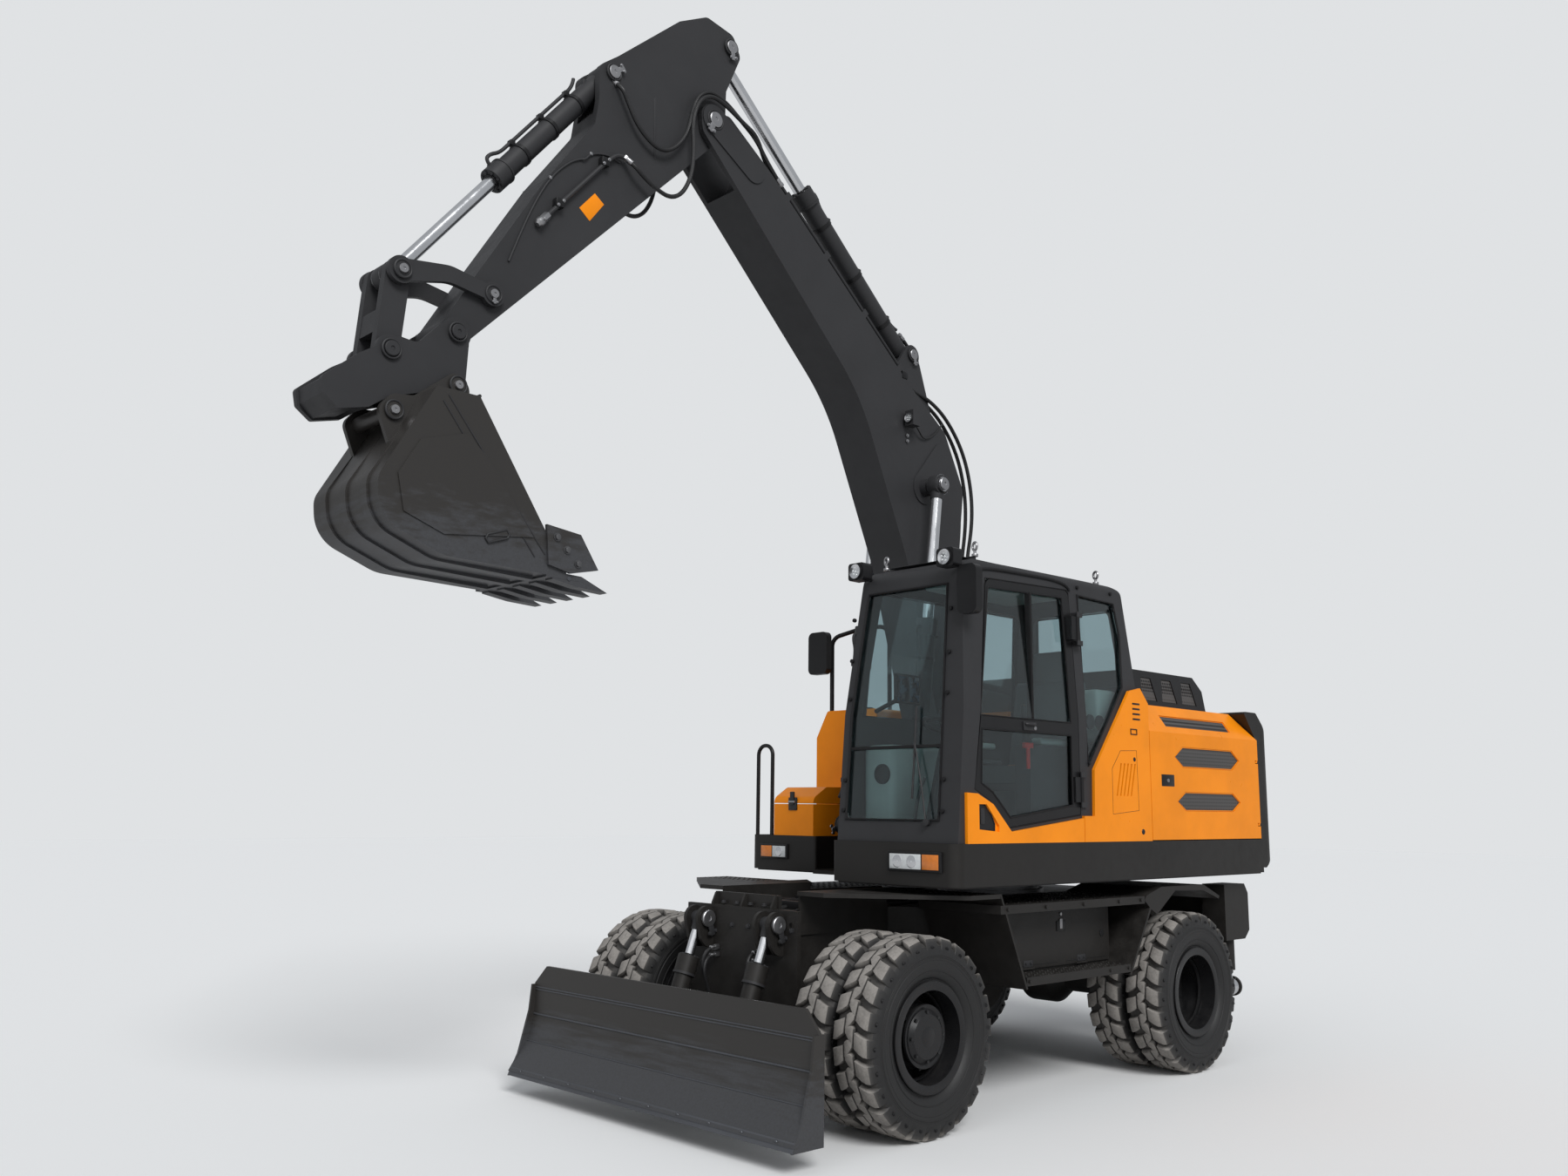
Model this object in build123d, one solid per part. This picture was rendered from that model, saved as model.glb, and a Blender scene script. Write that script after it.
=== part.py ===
from build123d import *
from math import atan2, cos, hypot, pi, radians, sin, tan
import os

# Wheeled excavator, millimetres, +Z up, the blade end faces -Y, the cab is on +X.
# Everything is drawn about the swing axis; SWING_Y sets that axis in the part's frame,
# so that the origin lies on the ground below the middle of the whole machine.
SWING_Y = 1300.0

# ---- clearances ----------------------------------------------------------------------
FIT = 0.3            # between pieces that seat on each other
RUN = 0.5            # pin in its bore, rod in its gland
CLEAR = 6.0          # between pieces that move past each other

# ---- wheels --------------------------------------------------------------------------
TYRE_R = 527.5
HUB_Z = 527.5        # axle height in the drawing, the whole machine is set on its tyres at the end
TYRE_W = 278.0
TWIN_PITCH = 303.0
TRACK_OUTER_X = 1106.0
RIM_R = 256.0
RIM_WALL = 12.0
RIM_FLANGE_R = 292.0
SPINDLE_R = 60.0
FRONT_Y = -1800.0
REAR_Y = 1000.0
TWIN_MID_X = TRACK_OUTER_X - TWIN_PITCH / 2
KINGPIN_X = 700.0
AXLE_R = 95.0

# ---- chassis -------------------------------------------------------------------------
CHASSIS_FRONT_Y = -2060.0
CHASSIS_REAR_Y = 1900.0
CHASSIS_TOP = 1130.0
CHASSIS_BOTTOM = 640.0
AXLE_BULGE_R = 185.0
AXLE_ARCH = AXLE_BULGE_R + 12.0
TIE_DOWN_R = 25.0
TIE_DOWN_FRONT = (435.0, 1060.0)
TIE_DOWN_REAR = (1950.0, 715.0)
FRONT_PLATE_HALF = 485.0
CHASSIS_NARROW = 330.0
CHASSIS_WIDE = 575.0
FRONT_PLATE = 25.0
DECK_TOP = 1184.0
DECK_WALL = 49.0
SIDE_X = 1200.0
STEP_TOP = 765.0
BOX_X = 1010.0
BOX_Y = (-885.0, 250.0)
BOX_Z = (766.0, 1134.0)
BOX_WALL = 12.0
RING_R = 560.0
RING_BORE = 450.0
RING_TOP = 1290.0

# ---- blade ---------------------------------------------------------------------------
BLADE_W = 2490.0
BLADE_PIVOT = (-2170.0, 480.0)
BLADE_CYL_TOP = (-2140.0, 1070.0)
BLADE_CYL_LOW = (-2400.0, 350.0)
BLADE_CYL_X = 306.0
BLADE_FORK = 68.0
BLADE_SKIN = 20.0

# ---- rear stabilisers ----------------------------------------------------------------
STAB_Y = 1800.0
STAB_HINGE = (250.0, 560.0)
STAB_EYE = (1030.0, 480.0)
STAB_HEAD = (1030.0, 1150.0)
STAB_PIN_R = 25.0
STAB_BARREL_R = 50.0
STAB_GUARD_X = (945.0, 1120.0)
STAB_GUARD_Y = (1625.0, 1975.0)
STAB_GUARD_Z = (820.0, 1215.0)

# ---- upper structure -----------------------------------------------------------------
UPPER_X = 1245.0
SKIRT_WALL = 25.0
SKIRT_Z = (1340.0, 1540.0)
FRAME_Z = RING_TOP + FIT
FRAME_PLATE = 26.0
CAB_FRONT_Y = -1600.0
CAB_INNER_X = 290.0
WELL_Y = -950.0
BOX_FRONT_Y = -870.0
BOX_INNER_X = -590.0
BODY_REAR_Y = 2000.0
BODY_TOP = 2450.0
BODY_BEND_Z = 2268.0
SEAM_Y = 460.0
WEIGHT_SHOULDER = (1817.0, 2477.0)
WEIGHT_BEND = (1992.0, 2268.0)
PANEL = 20.0
TANK_FRONT_Y = -200.0

# ---- working gear, (y, z) about the swing axis at rest -------------------------------
BOOM_X = -100.0
BOOM_W = 330.0
BOOM_FOOT = (-40.0, 1880.0)
BOOM_TIP = (-2467.0, 6011.0)
BOOM_CYL_FOOT = (-750.0, 1620.0)
BOOM_CYL_PIN = (-453.0, 3982.0)
BOOM_CYL_OFFSET = 290.0
ARM_CYL_FOOT = (-503.0, 4975.0)
ARM_CYL_PIN = (-2315.0, 6592.0)
ARM_CYL_R = 68.0
ARM_W = 250.0
BUCKET_CYL_FOOT = (-3230.0, 6030.0)
ROCKER_PIN = (-3980.0, 4413.0)
ROCKER_TOP = (-4509.0, 4393.0)
STICK_PIN = (-4185.0, 4142.0)
LINK_PIN = (-4544.0, 3960.0)
BUCKET_PIN_FRONT = (-4185.0, 3848.0)
BUCKET_PIN_REAR = (-4526.0, 3642.0)
BUCKET_W = 700.0
PIN_R = 40.0
FORK_GAP = ARM_W / 2 + CLEAR

NODES = {}


# ---- drawing helpers -----------------------------------------------------------------
def node(name, *shapes):
    """Keep the solids of one named sub-component."""
    solids = [s for shape in shapes for s in shape.solids()]
    NODES[name] = solids


def outline(*corners):
    """Closed face through corners (a, b) or (a, b, radius), straight edges and corner arcs."""
    edges = []
    ends = []
    count = len(corners)
    for i in range(count):
        here = Vector(corners[i][0], corners[i][1])
        radius = corners[i][2] if len(corners[i]) > 2 else 0
        if not radius:
            ends.append((here, here, None))
            continue
        before = (Vector(*corners[i - 1][:2]) - here).normalized()
        after = (Vector(*corners[(i + 1) % count][:2]) - here).normalized()
        half = radians(before.get_angle(after)) / 2
        reach = radius / tan(half)
        centre = here + (before + after).normalized() * (radius / sin(half))
        middle = centre + (here - centre).normalized() * radius
        ends.append((here + before * reach, here + after * reach, middle))
    for i in range(count):
        start, finish, middle = ends[i]
        if middle is not None:
            edges.append(ThreePointArc(start, middle, finish))
        following = ends[(i + 1) % count][0]
        if (following - finish).length > 1e-6:
            edges.append(Line(finish, following))
    return make_face(edges)


def disc(centre, radius):
    """Circle face about a point (y, z)."""
    return Pos(*centre) * Circle(radius)


def link_face(p, p_radius, q, q_radius):
    """Two round ends joined by their outer tangents."""
    gap = hypot(q[0] - p[0], q[1] - p[1])
    heading = atan2(q[1] - p[1], q[0] - p[0])
    lean = atan2((p_radius - q_radius) / gap, 1)
    corners = []
    for side, centre, radius in ((1, p, p_radius), (1, q, q_radius), (-1, q, q_radius), (-1, p, p_radius)):
        angle = heading + side * (pi / 2 - lean)
        corners.append((centre[0] + radius * cos(angle), centre[1] + radius * sin(angle)))
    return outline(*corners) + disc(p, p_radius) + disc(q, q_radius)


def across(face, x_low, x_high):
    """Extrude a (y, z) face along X."""
    return extrude(Plane.YZ.offset(x_low) * face, x_high - x_low)


def along(face, y_low, y_high):
    """Extrude an (x, z) face along Y."""
    plane = Plane(origin=(0, y_high, 0), x_dir=(1, 0, 0), z_dir=(0, -1, 0))
    return extrude(plane * face, y_high - y_low)


def upright(face, z_low, z_high):
    """Extrude an (x, y) face along Z."""
    return extrude(Pos(0, 0, z_low) * face, z_high - z_low)


def block(x, y, z):
    """Box from (low, high) pairs."""
    middle = Pos((x[0] + x[1]) / 2, (y[0] + y[1]) / 2, (z[0] + z[1]) / 2)
    return middle * Box(x[1] - x[0], y[1] - y[0], z[1] - z[0])


def shaft(x_low, x_high, centre, radius):
    """Round bar along X at (y, z)."""
    return across(disc(centre, radius), x_low, x_high)


def bar(start, finish, radius):
    """Round bar between two points in space."""
    run = Vector(*finish) - Vector(*start)
    plane = Plane(origin=start, z_dir=run)
    return extrude(plane * Circle(radius), run.length)


def toward(p, q, distance):
    """Point at a distance from p in the direction of q."""
    gap = hypot(q[0] - p[0], q[1] - p[1])
    return (p[0] + (q[0] - p[0]) * distance / gap, p[1] + (q[1] - p[1]) * distance / gap)


def both_sides(shape):
    """A shape and its mirror image about the machine's middle plane."""
    return [shape, mirror(shape, about=Plane.YZ)]


def pair_about_boom(face, inner, outer):
    """Two like plates either side of the working gear's middle plane."""
    return [across(face, BOOM_X + inner, BOOM_X + outer), across(face, BOOM_X - outer, BOOM_X - inner)]


# ---- hydraulic cylinders -------------------------------------------------------------
def barrel(x, foot, pin, length, radius, eye_radius, eye_width, pin_radius, rod_radius):
    """Cylinder tube from its foot eye to its gland, bored for the rod."""
    eye = across(disc(foot, eye_radius), x - eye_width / 2, x + eye_width / 2)
    start = toward(foot, pin, eye_radius * 0.7)
    neck = toward(foot, pin, length - 110)
    end = toward(foot, pin, length)
    tube = bar((x, *start), (x, *neck), radius) + bar((x, *neck), (x, *end), radius * 1.18)
    bore = bar((x, *toward(foot, pin, eye_radius + 40)), (x, *toward(foot, pin, length + 1)),
               rod_radius + RUN)
    return eye + tube - bore - shaft(x - eye_width, x + eye_width, foot, pin_radius + RUN)


def rod(x, foot, pin, start, radius, eye_radius, eye_width):
    """Chromed rod with the eye at its outer end."""
    stem = bar((x, *toward(foot, pin, start)), (x, *pin), radius)
    eye = across(disc(pin, eye_radius), x - eye_width / 2, x + eye_width / 2)
    return stem + eye


# ---- wheels and axles ----------------------------------------------------------------
HUB_STEPS = {
    # axle: (x from the twins' middle, radius) down to the wheel's axis, outer side
    "front": ((20, 205), (60, 190), (120, 185), (150, 150), (225, 142), (245, 115), (245, 0)),
    "rear": ((12, 190), (40, 180), (62, 120), (62, 0)),
}


def turned(section, x, y):
    """Revolve an (x, radius) section about a wheel's axis."""
    face = outline(*section)
    plane = Plane(origin=(x, y, HUB_Z), x_dir=(1, 0, 0), z_dir=(0, -1, 0))
    return revolve(plane * face, Axis((x, y, HUB_Z), (1, 0, 0)), 360)


def twin_rims(axle):
    """Both rims, their disc and hub as one turned section."""
    flange_in = TWIN_PITCH / 2 - 115
    flange_out = TWIN_PITCH / 2 + 115
    seat = RIM_WALL
    inside = RIM_R - RIM_WALL
    left = [
        (-60, SPINDLE_R), (-60, 150), (-12, 150), (-12, inside), (-flange_out, inside),
        (-flange_out, RIM_FLANGE_R), (-flange_out + seat, RIM_FLANGE_R), (-flange_out + seat, RIM_R),
        (-flange_in - seat, RIM_R), (-flange_in - seat, RIM_FLANGE_R), (-flange_in, RIM_FLANGE_R),
        (-flange_in, RIM_R),
    ]
    right = [
        (flange_in, RIM_R), (flange_in, RIM_FLANGE_R), (flange_in + seat, RIM_FLANGE_R),
        (flange_in + seat, RIM_R), (flange_out - seat, RIM_R), (flange_out - seat, RIM_FLANGE_R),
        (flange_out, RIM_FLANGE_R), (flange_out, inside), (HUB_STEPS[axle][0][0], inside),
    ]
    return left + right + list(HUB_STEPS[axle]) + [(50, 0), (50, SPINDLE_R)]


TYRE_SIDES = 14
TYRE_BANDS = (
    # x from the tyre's middle, radius to the corners: bead, sidewall, shoulder, tread
    (-98, 300), (-139, 442), (-121, 503), (121, 503), (139, 442), (98, 300),
)
LUGS = 14
LUG_FOOT = 470.0
LUG_STEP = 6.0


def ring_of(x, radius, sides):
    """Corners of a regular polygon about the X axis."""
    angles = [2 * pi * i / sides for i in range(sides)]
    return [Vector(x, radius * cos(angle), radius * sin(angle)) for angle in angles]


def flat_solid(rings):
    """Solid with flat faces between rings that have like corners."""
    count = len(rings[0])
    faces = [Face(Wire.make_polygon(rings[0])), Face(Wire.make_polygon(rings[-1]))]
    for low, high in zip(rings, rings[1:]):
        for i in range(count):
            j = (i + 1) % count
            faces.append(Face(Wire.make_polygon((low[i], low[j], high[j], high[i]))))
    return Solid(Shell(faces))


def tread_block(half, angle):
    """One slanted block of the tread, from near its middle to the shoulder."""
    inner, outer, foot_outer = 6.0, 114.0, 120.5
    crown_back, crown_front = (-56.0, -30.0), (-10.0, 55.0)
    grow = (foot_outer - inner) / (outer - inner)
    foot = []
    crown = []
    for (start, finish), step in ((crown_back, -LUG_STEP), (crown_front, LUG_STEP)):
        foot.append(((inner, start + step), (foot_outer, start + step + (finish - start) * grow)))
        crown.append(((inner, start), (outer, finish)))
    foot = (foot[0][0], foot[1][0], foot[1][1], foot[0][1])
    crown = (crown[0][0], crown[1][0], crown[1][1], crown[0][1])
    rings = []
    for height, corners in ((LUG_FOOT, foot), (TYRE_R, crown)):
        rings.append([Vector(half * x, lead, -height) for x, lead in corners])
    return Rot(angle, 0, 0) * flat_solid(rings)


def tyre(x, y):
    """Carcass with its lugs, those of one half between those of the other."""
    rings = [ring_of(band_x, radius, TYRE_SIDES) for band_x, radius in TYRE_BANDS]
    bore_corner = (RIM_R + FIT) / cos(pi / TYRE_SIDES)
    shape = flat_solid(rings) - flat_solid([ring_of(-150, bore_corner, TYRE_SIDES),
                                            ring_of(150, bore_corner, TYRE_SIDES)])
    pitch = 360 / LUGS
    blocks = [tread_block(1, k * pitch) for k in range(LUGS)]
    blocks += [tread_block(-1, (k + 0.5) * pitch) for k in range(LUGS)]
    return Pos(x, y, HUB_Z) * shape.fuse(*blocks)


twin_tyres = [tyre(TWIN_MID_X + offset, 0) for offset in (-TWIN_PITCH / 2, TWIN_PITCH / 2)]
for axle, wheel_y in (("front", FRONT_Y), ("rear", REAR_Y)):
    for side, sign in (("left", 1), ("right", -1)):
        tyres = [Pos(0, wheel_y, 0) * piece for piece in twin_tyres]
        rims = turned(twin_rims(axle), TWIN_MID_X, wheel_y)
        if sign < 0:
            tyres = [mirror(piece, about=Plane.YZ) for piece in tyres]
            rims = mirror(rims, about=Plane.YZ)
        node(f"tyres_{axle}_{side}", *tyres)
        node(f"rims_{axle}_{side}", rims)

front_hub = (FRONT_Y, HUB_Z)
rear_hub = (REAR_Y, HUB_Z)
spindle_end = TWIN_MID_X + 50 - RUN

PAD_X = 275.0
PAD_HALF = 60.0


def housing(half_length):
    """Axle tube swelling to the differential, as (x, radius)."""
    return ((-half_length, 0), (-half_length, AXLE_R), (-PAD_X + PAD_HALF, AXLE_R),
            (-110, AXLE_BULGE_R, 60),
            (110, AXLE_BULGE_R, 60), (PAD_X - PAD_HALF, AXLE_R), (half_length, AXLE_R), (half_length, 0))


def axle_pads(y):
    """Pads that carry the chassis on the axle tube."""
    pad = block((PAD_X - PAD_HALF, PAD_X + PAD_HALF), (y - 80, y + 80), (HUB_Z + 40, CHASSIS_BOTTOM - FIT))
    return pad + mirror(pad, about=Plane.YZ)


# Front axle: tube, differential and a fork at each end for the steering knuckle.
fork_post = block((560, 600), (FRONT_Y - 80, FRONT_Y + 80), (HUB_Z - 165, HUB_Z + 165))
fork_lug = outline((560, FRONT_Y - 60), (KINGPIN_X, FRONT_Y - 60), (KINGPIN_X, FRONT_Y + 60),
                   (560, FRONT_Y + 60))
fork_lug = fork_lug + Pos(KINGPIN_X, FRONT_Y) * Circle(60)
fork = fork_post + upright(fork_lug, HUB_Z + 130, HUB_Z + 165) + upright(fork_lug, HUB_Z - 165, HUB_Z - 130)
front_axle = turned(housing(561), 0, FRONT_Y) + axle_pads(FRONT_Y)
front_axle += fork + mirror(fork, about=Plane.YZ)
node("front_axle", front_axle)

for side, sign in (("left", 1), ("right", -1)):
    knuckle = Pos(KINGPIN_X, FRONT_Y, HUB_Z) * Cylinder(55, 260 - 2 * FIT)
    knuckle += shaft(KINGPIN_X + 15, KINGPIN_X + 185, front_hub, 110)
    knuckle += shaft(KINGPIN_X + 184, spindle_end, front_hub, SPINDLE_R - RUN)
    if sign < 0:
        knuckle = mirror(knuckle, about=Plane.YZ)
    node(f"knuckle_{side}", knuckle)

rear_axle = turned(housing(700), 0, REAR_Y) + axle_pads(REAR_Y)
rear_axle += shaft(690, 880, rear_hub, 130) + shaft(-880, -690, rear_hub, 130)
rear_axle += shaft(-spindle_end, spindle_end, rear_hub, SPINDLE_R - RUN)
node("rear_axle", rear_axle)

# Travel gearbox under the middle of the chassis, with a shaft to each axle.
gearbox_y = 60.0
gearbox = block((-150, 150), (gearbox_y - 200, gearbox_y + 200), (480, CHASSIS_BOTTOM - FIT))
gearbox += shaft(-170, 170, (gearbox_y, 560), 165)
shaft_gap = AXLE_BULGE_R + FIT
gearbox += bar((0, FRONT_Y + shaft_gap, HUB_Z), (0, gearbox_y, HUB_Z), 38)
gearbox += bar((0, REAR_Y - shaft_gap, HUB_Z), (0, gearbox_y, HUB_Z), 38)
node("gearbox", gearbox - block((-400, 400), (-400, 400), (CHASSIS_BOTTOM - FIT, 900)))

# ---- chassis -------------------------------------------------------------------------
plan_narrow = outline((-CHASSIS_NARROW, CHASSIS_FRONT_Y), (CHASSIS_NARROW, CHASSIS_FRONT_Y),
                      (CHASSIS_NARROW, -1150), (CHASSIS_WIDE, -950), (CHASSIS_WIDE, CHASSIS_REAR_Y),
                      (-CHASSIS_WIDE, CHASSIS_REAR_Y), (-CHASSIS_WIDE, -950), (-CHASSIS_NARROW, -1150))
flank = outline((CHASSIS_FRONT_Y, 560), (-1920, 560), (-1900, CHASSIS_BOTTOM), (1150, CHASSIS_BOTTOM),
                (1300, 760), (CHASSIS_REAR_Y, 760), (CHASSIS_REAR_Y, CHASSIS_TOP),
                (CHASSIS_FRONT_Y, CHASSIS_TOP))
chassis = upright(plan_narrow, 400, CHASSIS_TOP) & across(flank, -CHASSIS_WIDE, CHASSIS_WIDE)
for axle_y in (FRONT_Y, REAR_Y):
    chassis -= block((-PAD_X + PAD_HALF + 10, PAD_X - PAD_HALF - 10),
                     (axle_y - AXLE_ARCH, axle_y + AXLE_ARCH),
                     (300, HUB_Z + AXLE_ARCH))
lug = link_face(TIE_DOWN_REAR, 52, (CHASSIS_REAR_Y - 60, TIE_DOWN_REAR[1] + 130), 80)
lug -= disc(TIE_DOWN_REAR, TIE_DOWN_R)
for low, high in ((350, 380), (-380, -350)):
    chassis += across(lug, low, high)
# Outrigger on each flank with a bracket at its end for a stabiliser's cylinder.
outrigger_end = STAB_GUARD_X[0] - 55
outrigger = block((CHASSIS_WIDE + FIT, outrigger_end), (STAB_Y - 90, STAB_Y + 90), (900, CHASSIS_TOP))
head_face = link_face(STAB_HEAD, 38, (outrigger_end - 30, STAB_HEAD[1] - 30), 66)
for low, high in ((STAB_Y + 56, STAB_Y + 80), (STAB_Y - 80, STAB_Y - 56)):
    outrigger += along(head_face, low, high)
outrigger += bar((STAB_HEAD[0], STAB_Y - 92, STAB_HEAD[1]), (STAB_HEAD[0], STAB_Y + 92, STAB_HEAD[1]),
                 STAB_PIN_R)
for hinge_x in (-STAB_HINGE[0], STAB_HINGE[0]):
    for low, high in ((STAB_Y - 90, STAB_Y - 50), (STAB_Y + 50, STAB_Y + 90)):
        cheek = outline((hinge_x - 70, 762), (hinge_x + 70, 762), (hinge_x + 60, 540, 30),
                        (hinge_x - 60, 500, 30))
        chassis += along(cheek, low, high)
    chassis += bar((hinge_x, STAB_Y - 60, STAB_HINGE[1]), (hinge_x, STAB_Y + 60, STAB_HINGE[1]), PIN_R)
node("chassis_frame", chassis, *both_sides(outrigger))

# Front plate: tie-down holes, blade hinge below, blade cylinder heads above.
plate_y = (CHASSIS_FRONT_Y - FRONT_PLATE - FIT, CHASSIS_FRONT_Y - FIT)
bracket = block((-FRONT_PLATE_HALF, FRONT_PLATE_HALF), plate_y, (430, 1120))
for hole_x in (-TIE_DOWN_FRONT[0], TIE_DOWN_FRONT[0]):
    bracket -= bar((hole_x, plate_y[0] - 1, TIE_DOWN_FRONT[1]),
                   (hole_x, plate_y[1] + 1, TIE_DOWN_FRONT[1]), TIE_DOWN_R)
bracket += block((-280, 280), (-2086, -2015), (CHASSIS_TOP + FIT, 1150))
bracket += block((-280, 280), (-2040, -2015), (1149, 1225))
bracket += block((-FRONT_PLATE_HALF, FRONT_PLATE_HALF), plate_y, (1119, 1150))
for gusset_x in (-260, 0, 260):
    gusset = outline((-2039, 1149), (-2039, 1220), (-2055, 1220), (-2084, 1160), (-2084, 1149))
    bracket += across(gusset, gusset_x - 8, gusset_x + 8)
bracket -= block((-600, 600), (CHASSIS_FRONT_Y - FIT, -1500), (300, CHASSIS_TOP + FIT))
bracket_welds = []
behind_plate = block((-600, 600), (plate_y[0] - FIT, -1500), (300, 1300))
hinge_ear = link_face(BLADE_PIVOT, 60, (plate_y[0] + 12, BLADE_PIVOT[1]), 75)
hinge_half = BLADE_FORK - CLEAR
head_ear = link_face(BLADE_CYL_TOP, 72, (plate_y[0] - 10, 990), 95)
for middle_x in (-BLADE_CYL_X, BLADE_CYL_X):
    hinge_block = across(hinge_ear, middle_x - hinge_half, middle_x + hinge_half)
    hinge_block += shaft(middle_x - BLADE_FORK - 36, middle_x + BLADE_FORK + 36, BLADE_PIVOT, PIN_R)
    bracket_welds.append(hinge_block - behind_plate)
    for plate_x, pin_x in (((42, 66), (65, 78)), ((-66, -42), (-78, -65))):
        head_plate = across(head_ear, middle_x + plate_x[0], middle_x + plate_x[1])
        head_plate += shaft(middle_x + pin_x[0], middle_x + pin_x[1], BLADE_CYL_TOP, PIN_R)
        bracket_welds.append(head_plate - behind_plate)
node("front_bracket", bracket, *bracket_welds)

ring_low = CHASSIS_TOP + FIT
ring = upright(Circle(RING_R), ring_low, RING_TOP) - upright(Circle(RING_BORE), ring_low - 1, RING_TOP + 1)
ring -= upright(Circle(RING_R + 10) - Circle(RING_R - 25), 1205, 1222)
node("slewing_ring", ring)

# Decks over the front wheels, step rails and rear fenders.
deck_low = DECK_TOP - DECK_WALL
front_deck = outline((CHASSIS_NARROW + FIT, -1940), (545, -1940), (SIDE_X, -1420), (SIDE_X, -1146),
                     (CHASSIS_WIDE + FIT, -1146), (CHASSIS_WIDE + FIT, -960), (CHASSIS_NARROW + FIT, -1160))
front_deck = upright(front_deck, 1225, 1250)
deck_web = block((CHASSIS_NARROW + FIT, CHASSIS_NARROW + 12), (-1930, -1170), (1000, 1226))
front_drop = outline((-1150, 1250), (-1135, 1250), (-895, 700), (-911, 697))
front_drop = across(front_drop, CHASSIS_WIDE + FIT, SIDE_X)
rail = block((CHASSIS_WIDE + FIT, SIDE_X), (-1146, 411), (deck_low, DECK_TOP))
rail -= block((CHASSIS_WIDE, SIDE_X - 16), (-1080, 380), (deck_low - 1, DECK_TOP - 12))
step = block((BOX_X + FIT, SIDE_X), (-905, 214), (715, STEP_TOP))
rear_drop = across(outline((495, 1110), (480, 1120), (253, 771), (270, 767)), CHASSIS_WIDE + FIT, SIDE_X)
rear_drop += across(outline((254, 774), (271, 770), (222, 696), (205, 700)), BOX_X + FIT, SIDE_X)
rear_fender = outline((411, DECK_TOP - 30), (430, DECK_TOP), (620, 1235), (1180, 1235), (1400, 1150),
                      (1390, 1130), (1180, 1195), (800, 1205), (560, 1060), (480, 1100))
rear_fender = across(rear_fender, CHASSIS_WIDE + FIT, SIDE_X)
left_decks = [front_deck + deck_web + front_drop + rail, step, rear_fender + rear_drop]
decks = []
for piece in left_decks:
    decks += both_sides(piece)
node("decks", *decks)

# Step boxes of welded plates, open on the outer side, a door closes the left one.
box_back = CHASSIS_WIDE + BOX_WALL
box_inside = (box_back + FIT, BOX_X)
end_z = (BOX_Z[0] + BOX_WALL + FIT, BOX_Z[1] - BOX_WALL - FIT)
box_plates = [
    block((CHASSIS_WIDE + FIT, box_back), BOX_Y, BOX_Z),
    block(box_inside, BOX_Y, (BOX_Z[0], BOX_Z[0] + BOX_WALL)),
    block(box_inside, BOX_Y, (BOX_Z[1] - BOX_WALL, BOX_Z[1])),
    block(box_inside, (BOX_Y[0], BOX_Y[0] + BOX_WALL), end_z),
    block(box_inside, (BOX_Y[1] - BOX_WALL, BOX_Y[1]), end_z),
]
step_boxes = []
for plate in box_plates:
    step_boxes += both_sides(plate)
node("step_boxes", *step_boxes)
door_z = (BOX_Z[0] + 14, BOX_Z[1] - 6)
box_door = block((BOX_X + FIT, BOX_X + 14), (BOX_Y[0] + 6, BOX_Y[1] - 6), door_z)
BOX_HINGE = (BOX_X + 14, door_z[0])
for hinge_y in (-650.0, -80.0):
    box_door += bar((BOX_HINGE[0], hinge_y - 60, BOX_HINGE[1]), (BOX_HINGE[0], hinge_y + 60, BOX_HINGE[1]),
                    7)
node("box_door", box_door)

# Rear stabilisers: guard and cylinder on the chassis, beam with its foot, sliding rod.
guard_face = outline((STAB_GUARD_Y[0], STAB_GUARD_Z[0]), (STAB_GUARD_Y[1] - 70, STAB_GUARD_Z[0]),
                     (STAB_GUARD_Y[1], STAB_GUARD_Z[0] + 60), (STAB_GUARD_Y[1], STAB_GUARD_Z[1] - 70),
                     (STAB_GUARD_Y[1] - 50, STAB_GUARD_Z[1]), (STAB_GUARD_Y[0], STAB_GUARD_Z[1]))
guard = across(guard_face, *STAB_GUARD_X)
guard -= block((STAB_GUARD_X[0] - 1, STAB_GUARD_X[1] - 12), (STAB_GUARD_Y[0] + 12, STAB_GUARD_Y[1] - 72),
               (STAB_GUARD_Z[0] - 1, STAB_GUARD_Z[1] - 14))
stab_barrel = bar((STAB_EYE[0], STAB_Y, 600), (STAB_EYE[0], STAB_Y, STAB_GUARD_Z[1] - 7), STAB_BARREL_R)
stab_barrel += guard
stab_barrel -= bar((STAB_EYE[0], STAB_Y, 599), (STAB_EYE[0], STAB_Y, STAB_HEAD[1] - STAB_PIN_R - 20),
                   28 + RUN)
stab_barrel -= bar((STAB_HEAD[0], STAB_Y - 95, STAB_HEAD[1]), (STAB_HEAD[0], STAB_Y + 95, STAB_HEAD[1]),
                   STAB_PIN_R + RUN)
node("stabiliser_barrel_left", stab_barrel)
node("stabiliser_barrel_right", mirror(stab_barrel, about=Plane.YZ))


def xz(point, radius):
    """Circle face in the (x, z) plane."""
    return Pos(*point) * Circle(radius)


beam_face = link_face(STAB_HINGE, 75, STAB_EYE, 70)
beam_web = beam_face & outline((0, 300), (930, 300), (930, 800), (0, 800))
stab_beam = along(beam_web, STAB_Y - 44, STAB_Y + 44)
stab_beam -= bar((STAB_HINGE[0], STAB_Y - 60, STAB_HINGE[1]), (STAB_HINGE[0], STAB_Y + 60, STAB_HINGE[1]),
                 PIN_R + RUN)
beam_cheek = beam_face & outline((600, 300), (1200, 300), (1200, 800), (600, 800))
stab_beam += along(beam_cheek, STAB_Y - 66, STAB_Y - 43) + along(beam_cheek, STAB_Y + 43, STAB_Y + 66)
stab_beam += block((800, 925), (STAB_Y - 110, STAB_Y + 110), (370, 400))
stab_beam += along(outline((815, 399), (910, 399), (900, 450), (825, 450)), STAB_Y - 40, STAB_Y + 40)
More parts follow.
